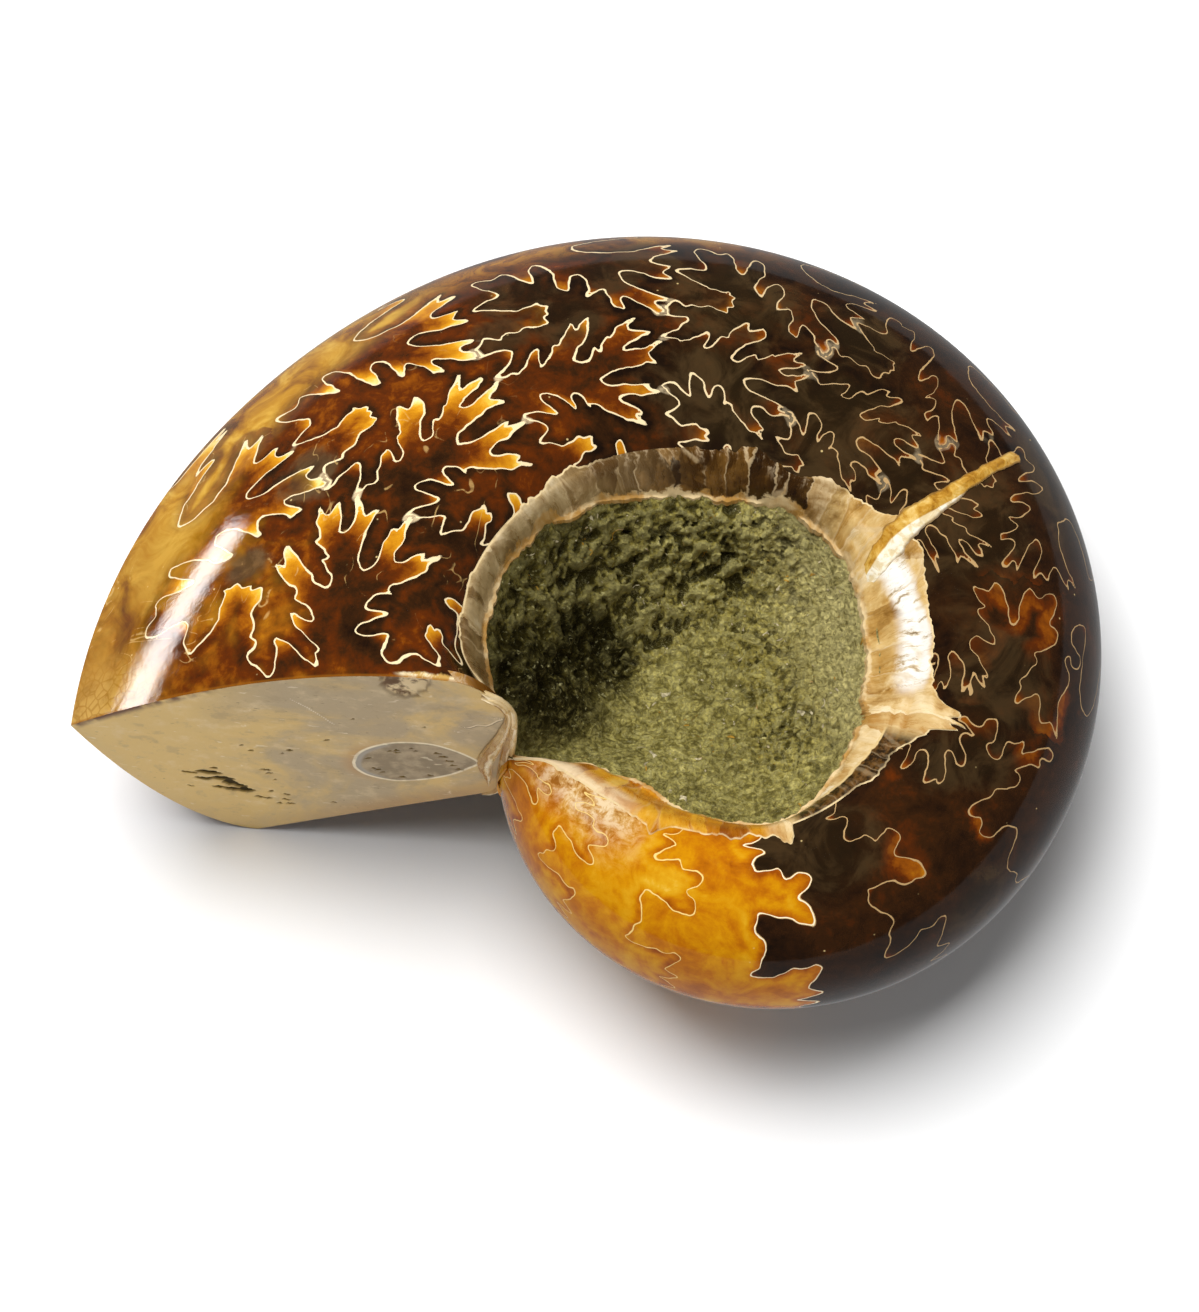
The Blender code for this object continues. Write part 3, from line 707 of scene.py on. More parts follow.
def polished_calcite():
    s = Shader("polished_calcite")
    chamber = s.kept_value("chamber")
    turned = s.kept_value("growth")
    steps = s.kept_value("steps")
    number = s.math("FLOOR", chamber)
    from_line = (chamber - number - 0.5) * (SUTURE_BLEND_MM / CHAMBER_HALF)
    distance = abs(from_line)
    older = s.spread(from_line, -0.02, 0.02)
    open_stone = s.spread(distance, 0.8, 1.9)
    close = 1.0 - open_stone
    near = s.kept_value("near_older") - number
    wide = s.kept_value("wide_older") - number
    mottle = s.noise(0.011, 4, 0.6, 0.6)
    patches = s.noise(0.0045, 6, 0.62, 0.8)
    fine = s.noise(0.0014, 5, 0.72, 0.4)
    uneven = patches - 0.5
    murk = s.spread(s.kept_value("murk") + uneven * 1.6, -0.15, 0.45)
    warm = s.spread(s.kept_value("warm") + uneven * 1.2, -0.1, 0.7)
    place = s.spread(turned, -20, 360, smooth=False)

    # Lobes are dark in their trunks and glow orange, then yellow, towards the tips of their teeth.
    trunk = s.ramp(place, [
        (0.0, 0.25), (0.07, 0.25), (0.16, 0.25), (0.26, 0.20), (0.33, 0.12), (0.5, 0.12), (1.0, 0.13),
    ])
    glow = s.spread(near, 0.25, 0.88, 0, 0.38) + s.spread(wide, 0.26, 0.66, 0, 0.28)
    tips = s.spread(near, 0.46, 0.86, 0, 0.52) + warm * 0.12
    glow = glow * s.spread(turned, 118, 92) + tips * s.spread(turned, 92, 118)
    lobe = trunk + glow * s.spread(turned, 52, 72, 1.0, 0.60)

    # Saddles are amber at the mouth, deep brown further back, and shaded next to the line; on the
    # older half their round ends are the warm part.
    saddle = s.ramp(place, [
        (0.0, 0.38), (0.06, 0.41), (0.12, 0.32), (0.17, 0.29), (0.23, 0.23), (0.31, 0.15), (0.37, 0.14),
        (0.5, 0.12), (1.0, 0.14),
    ])
    shade = s.spread(distance, 0.10, 1.15, 0.13, 0) * s.spread(turned, 115, 90)
    ends = s.spread(near, 0.50, 0.12, 0, 0.20) * s.spread(turned, 85, 160, 0.4, 1.0)
    middle = (trunk + saddle) * 0.5
    saddle = saddle - shade + ends
    saddle = saddle + warm * s.spread(turned, 85, 130, 0.0, 0.27)

    value = saddle * older + lobe * (1.0 - older)
    value = value * close + middle * open_stone
    light = s.spread(turned, 90, 135, 1.6, 1.15)
    clouded = (mottle - 0.5) * 0.34 + uneven * 0.30
    clouded = clouded + (fine - 0.5) * 0.24
    value = value + clouded * light
    rim_shade = s.spread(steps, 27, 35) * s.spread(turned, 130, 90)
    value = value - rim_shade * s.spread(turned, 18, 42, 0.19, 0.05)
    value = value - s.spread(turned, 56, 80, 0, 0.045)
    s.colour = s.ramp(value, AMBER)

    # Honey and olive along the keel near the mouth, and grey-olive murk in some of the bays.
    keel_side = s.spread(steps, 14.5, 8.5) * s.spread(turned, 66, 48)
    off_lobes = s.math("MAXIMUM", s.spread(near, 0.0, 0.5, 1, 0.25), open_stone)
    keel_side = keel_side * (s.spread(turned, 4, 24, 0.35, 1.0) * off_lobes)
    keel_colour = s.ramp(mottle * 0.5 + patches * 0.5, [
        (0.40, (0.20, 0.065, 0.001)), (0.49, (0.42, 0.195, 0.006)), (0.59, (0.60, 0.36, 0.045)),
    ])
    s.lay(keel_side, keel_colour)
    keel_amber = s.spread(steps, 15.0, 8.0) * (s.spread(turned, 52, 66) * s.spread(turned, 104, 92))
    amber_colour = s.ramp(patches, [
        (0.38, (0.070, 0.018, 0.002)), (0.50, (0.26, 0.090, 0.006)), (0.60, (0.42, 0.19, 0.015)),
    ])
    s.lay(keel_amber * s.spread(distance, 0.1, 0.7, 0.3, 0.85), amber_colour)
    olive = s.spread(turned, 34, 10) * (s.spread(mottle, 0.44, 0.60) * s.spread(steps, 32, 24))
    olive = olive * (older * close + open_stone * 0.6)
    s.lay(olive * 0.6, (0.33, 0.155, 0.008))
    murk_colour = s.ramp(place, [
        (0.10, (0.11, 0.070, 0.033)), (0.17, (0.020, 0.009, 0.002)), (0.25, (0.018, 0.008, 0.002)),
        (0.29, (0.027, 0.015, 0.004)), (0.50, (0.020, 0.011, 0.003)),
    ])
    murk = murk * (1.0 - s.spread(near, 0.5, 0.8) * (1.0 - older))
    deep_murk = s.mix(0.5, murk_colour, (0.008, 0.004, 0.001))
    pale_murk = s.mix(0.30, murk_colour, (0.11, 0.066, 0.026))
    murk_colour = s.mix(s.spread(patches, 0.40, 0.62), deep_murk, pale_murk)
    s.lay(murk * s.spread(turned, 90, 130, 0.8, 0.7), murk_colour)

    # Near the sawn end the keel is bruised to a pale net of hair cracks.
    bruised = s.spread(steps, 12, 7) * s.spread(turned, 7, 0)
    bruised = bruised * s.spread(patches, 0.35, 0.55, 0.35, 0.9)
    net = s.spread(s.cells(0.0011, "DISTANCE_TO_EDGE"), 0.02, 0.12)
    s.lay(bruised, s.mix(net, (0.34, 0.18, 0.03), (0.46, 0.27, 0.06)))

    # The oldest chambers are clear yellow, from one suture on.
    yellow = s.math("GREATER_THAN", chamber, YELLOW_FROM + 0.5)
    depth = mottle * 0.35 + patches * 0.50
    depth = depth + ((fine - 0.5) * 0.25 + 0.025)
    depth = depth + s.spread(turned, 262, 300, -0.01, 0.02)
    depth = depth - s.spread(steps, 28, 36, 0, 0.04)
    depth = depth - older * s.spread(distance, 0.15, 1.2, 0.08, 0)
    depth = depth + s.spread(near, 0.55, 0.95) * close * 0.08
    honey = s.ramp(depth, [
        (0.30, (0.26, 0.055, 0.001)), (0.41, (0.44, 0.135, 0.001)), (0.50, (0.55, 0.23, 0.001)),
        (0.60, (0.62, 0.32, 0.010)), (0.72, (0.72, 0.48, 0.08)),
    ])
    s.lay(yellow, honey)

    # Round the oldest part of the rim a painted highlight lies over the yellow: a frosty whitish wash where
    # the shoulder rolls over.
    painted_shoulder_highlight = s.spread(turned, 296, 312) * s.spread(turned, 341, 332)
    painted_shoulder_highlight = painted_shoulder_highlight * s.spread(steps + uneven * 22, 26, 44)
    painted_shoulder_highlight_colour = s.ramp(fine, [
        (0.38, (0.22, 0.09, 0.015)), (0.47, (0.48, 0.29, 0.10)), (0.58, (0.70, 0.58, 0.38)),
    ])
    s.lay(painted_shoulder_highlight * 0.8, painted_shoulder_highlight_colour)

    # Where two sutures all but touch, the stone between them has gone milky.
    milky = s.spread(s.kept_value("gap"), 0.90, 0.55) * s.spread(turned, 95, 55, 0.30, 0.85)
    s.lay(milky * s.spread(fine, 0.35, 0.60, 0.35, 1.0), (0.64, 0.50, 0.30))

    # The sutures themselves: a cream line, thinner where the stone is dark.
    oldest = s.math("GREATER_THAN", chamber, YELLOW_FROM + 1)
    width = s.spread(turned, 60, 120, 0.088, 0.060) + (yellow - oldest) * 0.045
    width = width * s.spread(s.noise(0.003, 2), 0.3, 0.7, 0.65, 1.35)
    width = width * s.spread(abs(near - 0.5), 0.15, 0.40, 0.9, 1.3)
    line = s.spread(distance / width, 0.80, 1.2, 1, 0)
    line_colour = s.mix(s.spread(turned, 70, 125), (0.80, 0.64, 0.38), (0.44, 0.28, 0.12))
    line_colour = s.mix(yellow, line_colour, (0.90, 0.78, 0.52))
    line_colour = s.mix(oldest, line_colour, (0.84, 0.60, 0.20))
    s.lay(line * s.spread(turned, 285, 320, 1.0, 0.8), line_colour)

    # The saw crumbled the edge, and left it white over the chip in the sawn face.
    behind = s.kept_value("behind_cut") + uneven * 2.2
    crumbled = s.spread(steps, 34.0, 35.2) * s.spread(steps, 41.5, 39.5)
    crumbled = crumbled * s.spread(behind, 1.0, 0.6)
    s.lay(crumbled, s.mix(s.spread(fine, 0.45, 0.6), (0.50, 0.30, 0.08), (0.78, 0.66, 0.42)))
    s.lay(s.spread(s.kept_value("behind_cut"), 0.35, 0.10, 0, 0.6), (0.24, 0.085, 0.008))

    # Hair cracks wander through the polish near the mouth, and show pale where they catch light.
    strand = s.noise(0.016, 3, 0.55, 1.2)
    hair = s.spread(abs(strand - 0.5), 0.0045, 0.0015)
    hair = hair * (s.spread(turned, 60, 30) * s.spread(patches, 0.50, 0.60))
    s.lay(hair * 0.5, (0.62, 0.40, 0.14))

    specks = s.spread(s.cells(0.0024), 0.02, 0.065, 1, 0) * s.spread(patches, 0.48, 0.56)
    s.lay(specks * 0.8, (0.70, 0.52, 0.22))
    s.bump(line + fine * 0.6, 0.00002)
    return s.finish(0.035, IOR=1.56, Specular_IOR_Level=0.33)


calcite = polished_calcite()
kept(whorl_half("upper_flank", upper_profile, UPPER_ROWS), calcite)
kept(whorl_half("lower_flank", lower_profile, LOWER_ROWS), calcite)

# ---------------------------------------------------------------------------------------------
# The sawn face: the mouth end cut off square and honed. Cream and grey calcite, with streaked
# pits, a chip in its upper edge and the oval section of the whorl before.
# ---------------------------------------------------------------------------------------------
FACE_COLUMNS = 200
FACE_ROWS = 170
FACE_PROUD = 0.00004
FACE_THICK = 0.0009
FACE_INSET = 0.00003
PIT_DEPTH = 0.00035
CHIP_DEPTH = 0.0004
CHIP_ROUGHNESS = 0.0002
# The oval, the chip, the crack and the scratch, as (mm from the axis, mm up).
OVAL = [
    (35.5, -1.7), (35.2, 0.7), (34.0, 2.8), (32.0, 4.5), (30.0, 5.1), (28.1, 5.1), (26.1, 4.2), (24.4, 2.9),
    (23.5, 1.6), (24.5, -0.2), (26.0, -2.2), (28.2, -4.0), (30.8, -5.2), (32.7, -5.1), (34.2, -4.4),
    (35.2, -3.1), (35.5, -1.7),
]
CHIP = [
    (34.2, 19.5), (33.6, 17.6), (32.6, 16.2), (31.0, 16.4), (29.9, 17.6), (28.9, 20.2), (30.5, 24.0),
    (34.0, 23.0), (34.2, 19.5),
]
FACE_CRACK = [(25.1, 10.5), (24.3, 11.4), (23.5, 11.2), (22.5, 12.9), (21.7, 13.6)]
FACE_SCRATCH = [(42.3, 12.9), (40.7, 11.3), (39.6, 10.0), (37.9, 7.7)]
# Pits as (mm from the axis, mm up, half length, half height).
FACE_PITS = [
    (51.4, -9.0, 0.7, 0.18), (49.5, -8.5, 1.2, 0.48), (49.0, -7.2, 0.4, 0.20), (49.8, -10.2, 0.9, 0.30),
    (48.1, -9.8, 1.1, 0.55), (47.2, -10.8, 0.8, 0.62), (48.3, -12.1, 0.7, 0.28), (46.9, -12.3, 0.9, 0.42),
    (45.7, -12.3, 0.9, 0.55), (46.2, -11.3, 0.6, 0.4), (50.9, -12.6, 0.5, 0.10), (44.2, -13.6, 0.45, 0.20),
    (43.5, -13.7, 0.3, 0.15), (43.2, -11.8, 0.25, 0.13), (42.2, -14.8, 0.3, 0.12),
    (41.6, -13.6, 0.45, 0.16), (41.0, -14.6, 0.5, 0.15), (41.6, -12.2, 0.3, 0.10), (42.9, -8.6, 0.15, 0.12),
    (43.9, -6.2, 0.5, 0.13), (43.7, -6.9, 0.3, 0.12), (41.9, -0.4, 0.3, 0.12), (42.4, -1.4, 0.25, 0.10),
    (46.5, -0.4, 0.3, 0.08), (45.5, -1.5, 0.2, 0.12), (34.2, -0.2, 0.28, 0.14), (32.2, 2.3, 0.2, 0.12),
    (31.7, 2.7, 0.18, 0.1), (31.5, 2.1, 0.3, 0.13), (30.2, 3.6, 0.13, 0.12), (29.7, 3.0, 0.13, 0.12),
    (30.5, -4.2, 0.4, 0.14), (28.0, -3.0, 0.25, 0.09), (33.5, -2.6, 0.3, 0.10), (33.0, -3.0, 0.3, 0.10),
    (32.5, -3.6, 0.3, 0.10), (27.6, 2.9, 0.3, 0.13), (27.0, 2.2, 0.35, 0.15), (26.3, 1.3, 0.35, 0.15),
    (25.8, 0.2, 0.3, 0.13), (25.2, -0.6, 0.3, 0.12), (37.0, -12.9, 0.3, 0.10), (38.4, 3.4, 0.25, 0.07),
    (36.2, 9.6, 0.2, 0.07), (29.4, 9.3, 0.2, 0.06),
]


def face_outline():
    """The (radii, heights) of the face's upper and lower edges, from the tip inwards."""
    turn = np.zeros(1)
    upper_radius, upper_height = (part[0] for part in upper_profile(turn))
    edge = ring_radius(ROCK_RADIUS, turn)
    edge_height = along(ROCK_HEIGHT, growth(edge, turn))
    upper = (np.r_[upper_radius, edge], np.r_[upper_height, edge_height])
    return upper, tuple(part[0] for part in lower_profile(turn))


def sawn_face():
    (up_radius, up_height), (low_radius, low_height) = face_outline()
    share = np.linspace(0, 1, FACE_COLUMNS + 1)
    radius = up_radius[0] - 2 * FACE_INSET - (up_radius[0] - CUT_STOPS - 0.0001) * share
    top = np.interp(-radius, -up_radius, up_height) - FACE_INSET
    bottom = np.interp(-radius, -low_radius, low_height) + FACE_INSET
    level = np.linspace(0, 1, FACE_ROWS + 1)
    height = bottom[:, None] + (top - bottom)[:, None] * level
    out_mm = np.sqrt(radius**2 - CUT_OFFSET**2)[:, None] * 1000 * np.ones_like(height)
    up_mm = height * 1000
    ones = np.ones_like(out_mm)
    wobble = clouds(np.stack([out_mm, up_mm, 0 * ones], -1) / 1000, 0.0010, 11) * 0.45
    pit = np.zeros_like(out_mm)
    for out, up, long, tall in FACE_PITS:
        reach = 1.25 - ((out_mm - out + wobble * 0.3) / long) ** 2
        reach = reach - ((up_mm - up + wobble * 0.4) / tall) ** 2 + wobble * 0.9
        pit = np.maximum(pit, np.clip(reach, 0, 1) ** 0.5)
    oval = side_and_distance(rounded_line(OVAL, 4), out_mm, up_mm, ones, ones)
    chip = side_and_distance(CHIP, out_mm + wobble, up_mm + wobble, ones, ones)
    crack = side_and_distance(FACE_CRACK, out_mm, up_mm + wobble * 0.4, ones, ones)
    scratch = np.abs(side_and_distance(FACE_SCRATCH, out_mm, up_mm + wobble * 0.3, ones, ones))
    flaked = ease(chip, -0.1, 0.5)
    broken = clouds(np.stack([out_mm, up_mm, ones], -1) / 1000, 0.002, 5)
    sunk = pit * PIT_DEPTH + flaked * (CHIP_DEPTH + CHIP_ROUGHNESS * broken)
    shape = SQUARE_ON * (CUT_OFFSET + FACE_PROUD - sunk)[..., None] + SIDEWAYS * out_mm[..., None] / 1000
    shape[..., 2] += height
    values = {
        "out_mm": out_mm, "up_mm": up_mm, "pit": pit, "oval": oval, "chip": flaked, "crack": crack,
        "scratch": scratch, "under_edge": top[:, None] * 1000 - up_mm,
        "over_edge": up_mm - bottom[:, None] * 1000,
    }
    mesh, _ = grid_of(laid_down(shape), values)
    close_behind(mesh, open_edges(mesh), -AHEAD * FACE_THICK, 0.975)
    return closed("sawn_face", mesh)


def honed_calcite():
    s = Shader("honed_calcite")
    out, up, oval = s.kept_value("out_mm"), s.kept_value("up_mm"), s.kept_value("oval")
    clouds_wide = s.noise(0.014, 5, 0.6, 0.6)
    clouds_fine = s.noise(0.0022, 5, 0.65)
    streaked = s.flat_place(out * 0.4, up)
    grey = s.spread(clouds_wide, 0.40, 0.60) * s.spread(out, 54, 42)
    s.colour = s.mix(grey, (0.67, 0.45, 0.150), (0.45, 0.335, 0.185))
    s.lay(s.spread(clouds_fine, 0.50, 0.72, 0, 0.40), (0.76, 0.59, 0.34))
    s.lay(s.spread(clouds_fine, 0.46, 0.34, 0, 0.35), (0.33, 0.23, 0.11))
    lower = s.spread(s.kept_value("over_edge"), 5, 0.5, 0, 0.65)
    s.lay(lower, s.mix(s.spread(out, 46, 30), (0.62, 0.42, 0.16), (0.42, 0.22, 0.06)))
    rust = s.spread(oval, -1.9, -0.1) * s.spread(out, 31, 36)
    s.lay(rust * 0.55, (0.50, 0.26, 0.08))
    inner = s.mix(s.spread(clouds_fine, 0.38, 0.62), (0.27, 0.195, 0.10), (0.42, 0.315, 0.18))
    inner = s.mix(s.spread(oval, 0.9, 0.5) * s.spread(out, 31.5, 33.5), inner, (0.36, 0.31, 0.24))
    s.lay(s.spread(oval, -0.02, 0.02), inner)
    ring = s.spread(abs(oval), 0.10, 0.22, 1, 0) * s.spread(clouds_fine, 0.35, 0.55, 0.5, 1.0)
    s.lay(ring, (0.80, 0.68, 0.46))
    flecks = s.spread(s.noise(0.36, 3, 0.6, 0.3, streaked), 0.66, 0.72)
    flecks = flecks * s.spread(clouds_wide, 0.40, 0.60, 0.25, 0.85)
    s.lay(flecks, (0.17, 0.11, 0.045))
    scuffs = s.spread(s.noise(0.9, 3, 0.6, 0.8, streaked), 0.64, 0.72, 0, 0.5)
    s.lay(scuffs, (0.82, 0.70, 0.48))
    stain = s.spread(s.kept_value("under_edge"), 1.7, 0.1) * s.spread(out, 47, 52)
    stain = stain * s.spread(s.noise(0.003, 3), 0.40, 0.58)
    s.lay(stain, (0.17, 0.07, 0.03))
    s.lay(s.spread(s.kept_value("scratch"), 0.05, 0.16, 0.7, 0), (0.86, 0.78, 0.60))
    chip, crack = s.kept_value("chip"), s.kept_value("crack")
    crumb = s.mix(s.spread(clouds_fine, 0.42, 0.56), (0.16, 0.075, 0.02), (0.74, 0.56, 0.30))
    s.lay(chip, s.mix(s.spread(chip, 0.25, 0.9), (0.10, 0.050, 0.015), crumb))
    under = s.spread(crack, -0.34, -0.12) * s.spread(crack, 0.0, -0.08)
    s.lay(under * 0.7, (0.12, 0.065, 0.03))
    s.lay(s.spread(abs(crack), 0.06, 0.14, 0.9, 0), (0.80, 0.66, 0.42))
    pit = s.kept_value("pit")
    s.lay(s.spread(pit, 0.02, 0.30, 0, 0.9), (0.24, 0.15, 0.035))
    s.lay(s.spread(pit, 0.35, 0.70), (0.050, 0.032, 0.007))
    s.bump(clouds_fine + flecks * -0.8, 0.00003)
    rough = s.math("MAXIMUM", s.spread(clouds_fine, 0.3, 0.7, 0.38, 0.50), s.spread(pit, 0.1, 0.4, 0, 0.95))
    return s.finish(rough)


kept(sawn_face(), honed_calcite())

# ---------------------------------------------------------------------------------------------
# The rock: olive sandstone that the coil was buried in, left broken and rough in the bowl of
# each flank. It fills the inner whorls and cannot be polished.
# ---------------------------------------------------------------------------------------------
UPPER_FLOOR = 0.0030
DIP_DEPTH = 0.0050
DIP_CENTRE = (-0.012, 0.003)
DIP_SPREAD = 0.007
LOWER_FLOOR = 0.0015
BOWL_STEEPNESS = 2.2
ROCK_COLUMNS = 600
ROCK_ROWS = 104
ROCK_TUCK = 0.0007
PLUG_THICK = 0.0014
PLUG_BACK_ROWS = 12
CHIP_SEED = 7

# Without a seed of its own, the tilt of the chips would change from one run to the next.
noise.seed_set(CHIP_SEED)


def mound(east, north, middle, reach):
    """1 at the middle of a hump, falling away over its reach to the east and to the north."""
    return np.exp(-(((east - middle[0]) / reach[0]) ** 2 + ((north - middle[1]) / reach[1]) ** 2))


def rock_height(radius, edge_radius, edge_height, floor, dip, angle):
    """The rock's height in a bowl, which rises from its floor to its edge."""
    east = radius * np.cos(np.radians(angle)) - DIP_CENTRE[0]
    north = radius * np.sin(np.radians(angle)) - DIP_CENTRE[1]
    sunk = floor - dip * np.exp(-(east**2 + north**2) / (2 * DIP_SPREAD**2))
    return sunk + (edge_height - sunk) * (radius / edge_radius) ** BOWL_STEEPNESS


def chips(points, size, seed):
    """The height of flat chips of rock, each tilted its own way, where rock broke away."""
    heights = []
    for point in (points / size + seed * 3.17).reshape(-1, 3):
        middle = noise.voronoi(Vector(point))[1][0]
        tilt = noise.noise_vector(middle * 5.3)
        heights.append((Vector(point) - middle).dot(tilt) * 2 + noise.noise(middle * 9.1))
    return np.array(heights).reshape(points.shape[:-1])


def rock_plug(name, edge_list, height_list, floor, dip, sign, seed):
    """A plug of rock with a broken front and a plain back; sign is 1 for the upper bowl."""
    turn = np.linspace(0, 1, ROCK_COLUMNS + 1)
    edge = ring_radius(edge_list, turn)
    edge_height = along(height_list, growth(edge, turn))
    share = np.r_[np.linspace(0, 1, ROCK_ROWS + 1) ** 0.75, np.linspace(0.97, 0, PLUG_BACK_ROWS)]
    front = np.arange(len(share)) <= ROCK_ROWS
    radius = (edge + ROCK_TUCK)[:, None] * share
    angle = bearing(radius, turn[:, None])
    height = rock_height(radius, edge[:, None], edge_height[:, None], floor, dip, angle)
    even = upright(radius, angle, height * sign)
    even[-1] = even[0]
    east, north = even[..., 0], even[..., 1]
    # A rough wall to the north, scree to the east of the middle and a broken pocket south-east.
    # A painted shadow lies over the dip to the west, and the rock is painted darker to the west
    # and paler to the east, as painted shade and painted light.
    wall = ease(north - 0.61 * east, 0.0070, 0.0115)
    scree = 0.45 * ease(east + 0.5 * north, 0.0005, 0.0040) * ease(0.006 - east, -0.006, 0.002)
    pocket = mound(east, north, (0.0060, -0.0040), (0.0034, 0.0042))
    rough = np.maximum(np.maximum(wall, scree), pocket)
    # Where the painted shadow falls over the dip to the west.
    gully_shadow = mound(east, north, (-0.0180, -0.0008), (0.0056, 0.0044))
    gully_shadow = np.maximum(gully_shadow, 0.9 * mound(east, north, (-0.0132, 0.0042), (0.0050, 0.0040)))
    lit = ease(east - 0.25 * north, -0.024, -0.004)
    pale = ease(east + 0.3 * north, 0.0040, 0.0130)
    inside = ease((edge + ROCK_TUCK)[:, None] - radius, 0.0, 0.0030)
    lumps = clouds(even, 0.0065, seed, 3) * 0.0010 * (0.4 + 0.6 * rough)
    ledges = (1 - np.abs(clouds(even, 0.0055, seed + 1, 4)) * 2.2) * 0.0006 * rough
    ledges -= np.maximum(clouds(even, 0.0032, seed + 7, 3) - 0.05, 0) * 0.0019 * rough
    broken = chips(even, 0.0028, seed) * 0.00034 * rough
    broken = broken + chips(even, 0.0011, seed + 5) * (0.00006 + 0.00034 * rough)
    grit = clouds(even, 0.0006, seed + 3, 4) * (0.00009 + 0.00018 * rough)
    relief = (lumps + ledges) * inside + (broken + grit) * (0.3 + 0.7 * inside)
    off = np.where(front, relief, -PLUG_THICK * (share < 0.97))
    shape = even.copy()
    shape[..., 2] += off * sign
    slope = ease(radius / edge[:, None], 0.3, 1.0) * front
    shape[..., 0] -= off * slope * 0.6 * np.cos(np.radians(angle))
    shape[..., 1] -= off * slope * 0.6 * np.sin(np.radians(angle))
    shape[-1] = shape[0]
    # The relief's small and broad ups and downs are kept for the rock's painted shade and highlights.
    values = {
        "relief_shading": (off - blurred(off, 3.0)) * 1000, "deep": (off - blurred(off, 9.0)) * 1000,
        "gully_shadow": gully_shadow, "rough": rough, "lit": lit, "pale": pale,
    }
    mesh, _ = grid_of(laid_down(shape), values)
    bmesh.ops.remove_doubles(mesh, verts=mesh.verts, dist=1e-6)
    return closed(name, mesh, sharp=50)


def sandstone():
    s = Shader("olive_sandstone")
    relief_shading, deep, gully_shadow = s.kept_value("relief_shading"), s.kept_value("deep"), s.kept_value("gully_shadow")
    wide = s.noise(0.008, 4, 0.6)
    fine = s.noise(0.0009, 5, 0.75, 0.8)
    grain = s.cells(0.00060)
    pitted = s.noise(0.00055, 3, 0.6)
    scaly = s.noise(0.0011, 4, 0.7, 1.6)
    ridges = s.spread(abs(scaly - 0.5), 0.035, 0.005)
    s.colour = s.ramp(wide * 0.40 + fine * 0.60, [
        (0.36, (0.070, 0.052, 0.008)), (0.45, (0.24, 0.195, 0.042)), (0.55, (0.46, 0.385, 0.100)),
        (0.66, (0.74, 0.65, 0.25)),
    ])
    # Painted shade in the hollows and broad dips of the broken relief, and a painted highlight on its crests.
    s.lay(s.spread(relief_shading, 0.01, -0.14, 0, 0.80), (0.030, 0.024, 0.004))
    s.lay(s.spread(deep, -0.10, -0.70, 0, 0.75), (0.035, 0.028, 0.005))
    s.lay(s.spread(relief_shading, 0.03, 0.13, 0, 0.45), (0.44, 0.40, 0.17))
    smooth = s.spread(s.kept_value("rough"), 0.45, 0.05, 0, 0.55)
    s.lay(smooth, s.mix(s.spread(fine, 0.40, 0.60), (0.15, 0.128, 0.033), (0.47, 0.415, 0.140)))
    s.lay(ridges * s.spread(fine, 0.40, 0.60, 0.1, 0.55), (0.64, 0.57, 0.25))
    # Painted light makes the rock paler to the east, and painted shade makes it darker to the west.
    s.lay(s.kept_value("pale") * s.spread(fine, 0.35, 0.55, 0.15, 0.6), (0.66, 0.57, 0.25))
    s.lay(s.spread(s.kept_value("lit"), 0, 1, 0.62, 0, smooth=False), (0.030, 0.021, 0.003))
    s.lay(s.spread(scaly, 0.40, 0.33, 0, 0.7), (0.060, 0.048, 0.011))
    # Painted shadow over the dip to the west.
    shaded = s.spread(gully_shadow, 0.08, 0.62) * s.spread(fine, 0.66, 0.42, 0.55, 0.96)
    s.lay(shaded, (0.009, 0.007, 0.0015))
    open_pits = s.spread(pitted, 0.40, 0.30) * s.spread(s.kept_value("rough"), 0.0, 0.5, 0.15, 0.6)
    s.lay(open_pits, (0.045, 0.034, 0.007))
    s.lay(s.spread(pitted, 0.60, 0.72, 0, 0.5), (0.60, 0.55, 0.26))
    crumbs = s.spread(s.noise(0.0016, 1, 0.5, 2.2), 0.705, 0.735) * s.spread(gully_shadow, 0.15, 0.03)
    crumb_colour = s.mix(s.spread(s.noise(0.005, 1), 0.50, 0.58), (0.74, 0.64, 0.40), (0.50, 0.28, 0.04))
    s.lay(crumbs, crumb_colour)
    texture = fine + (grain + pitted) * 0.6
    texture = texture + ridges * 0.25
    s.bump(texture + crumbs * 0.5, 0.00060)
    return s.finish(0.85, Specular_IOR_Level=0.2)


rock = sandstone()
kept(rock_plug("upper_rock", ROCK_RADIUS, ROCK_HEIGHT, UPPER_FLOOR, DIP_DEPTH, 1, 20), rock)
kept(rock_plug("lower_rock", LOW_ROCK_RADIUS, LOW_ROCK_HEIGHT, LOWER_FLOOR, 0.0, -1, 30), rock)

# ---------------------------------------------------------------------------------------------
# The rim: what is left of the horn-coloured shell round each bowl, where the whorl turns in
# over the rock. It is fibrous, with a ragged outer edge drawn out in cusps at the old mouths.
# ---------------------------------------------------------------------------------------------
BAND_COLUMNS = 1500
BAND_ROWS = 34
BAND_EDGE = [
    (-15, 0.0230), (0, 0.0268), (12, 0.0268), (25, 0.0252), (46, 0.0242), (61, 0.0228), (84, 0.0212),
    (98, 0.0206), (109, 0.0197), (127, 0.0200), (137, 0.0205), (143, 0.0218), (149, 0.0208), (158, 0.0199),
    (180, 0.0190), (192, 0.0192), (197, 0.0203), (199, 0.0220), (200.2, 0.0210), (201.6, 0.0238),
    (203.4, 0.0208), (207, 0.0190), (213, 0.0178), (225, 0.0170), (243, 0.0167), (254, 0.0170),
    (257.8, 0.0190), (261.5, 0.0172), (275, 0.0169), (288, 0.0169), (296, 0.0173), (299, 0.0184),
    (302, 0.0177), (319, 0.0181), (336, 0.0198), (344, 0.0226),
]
BAND_LIFT = 0.00014
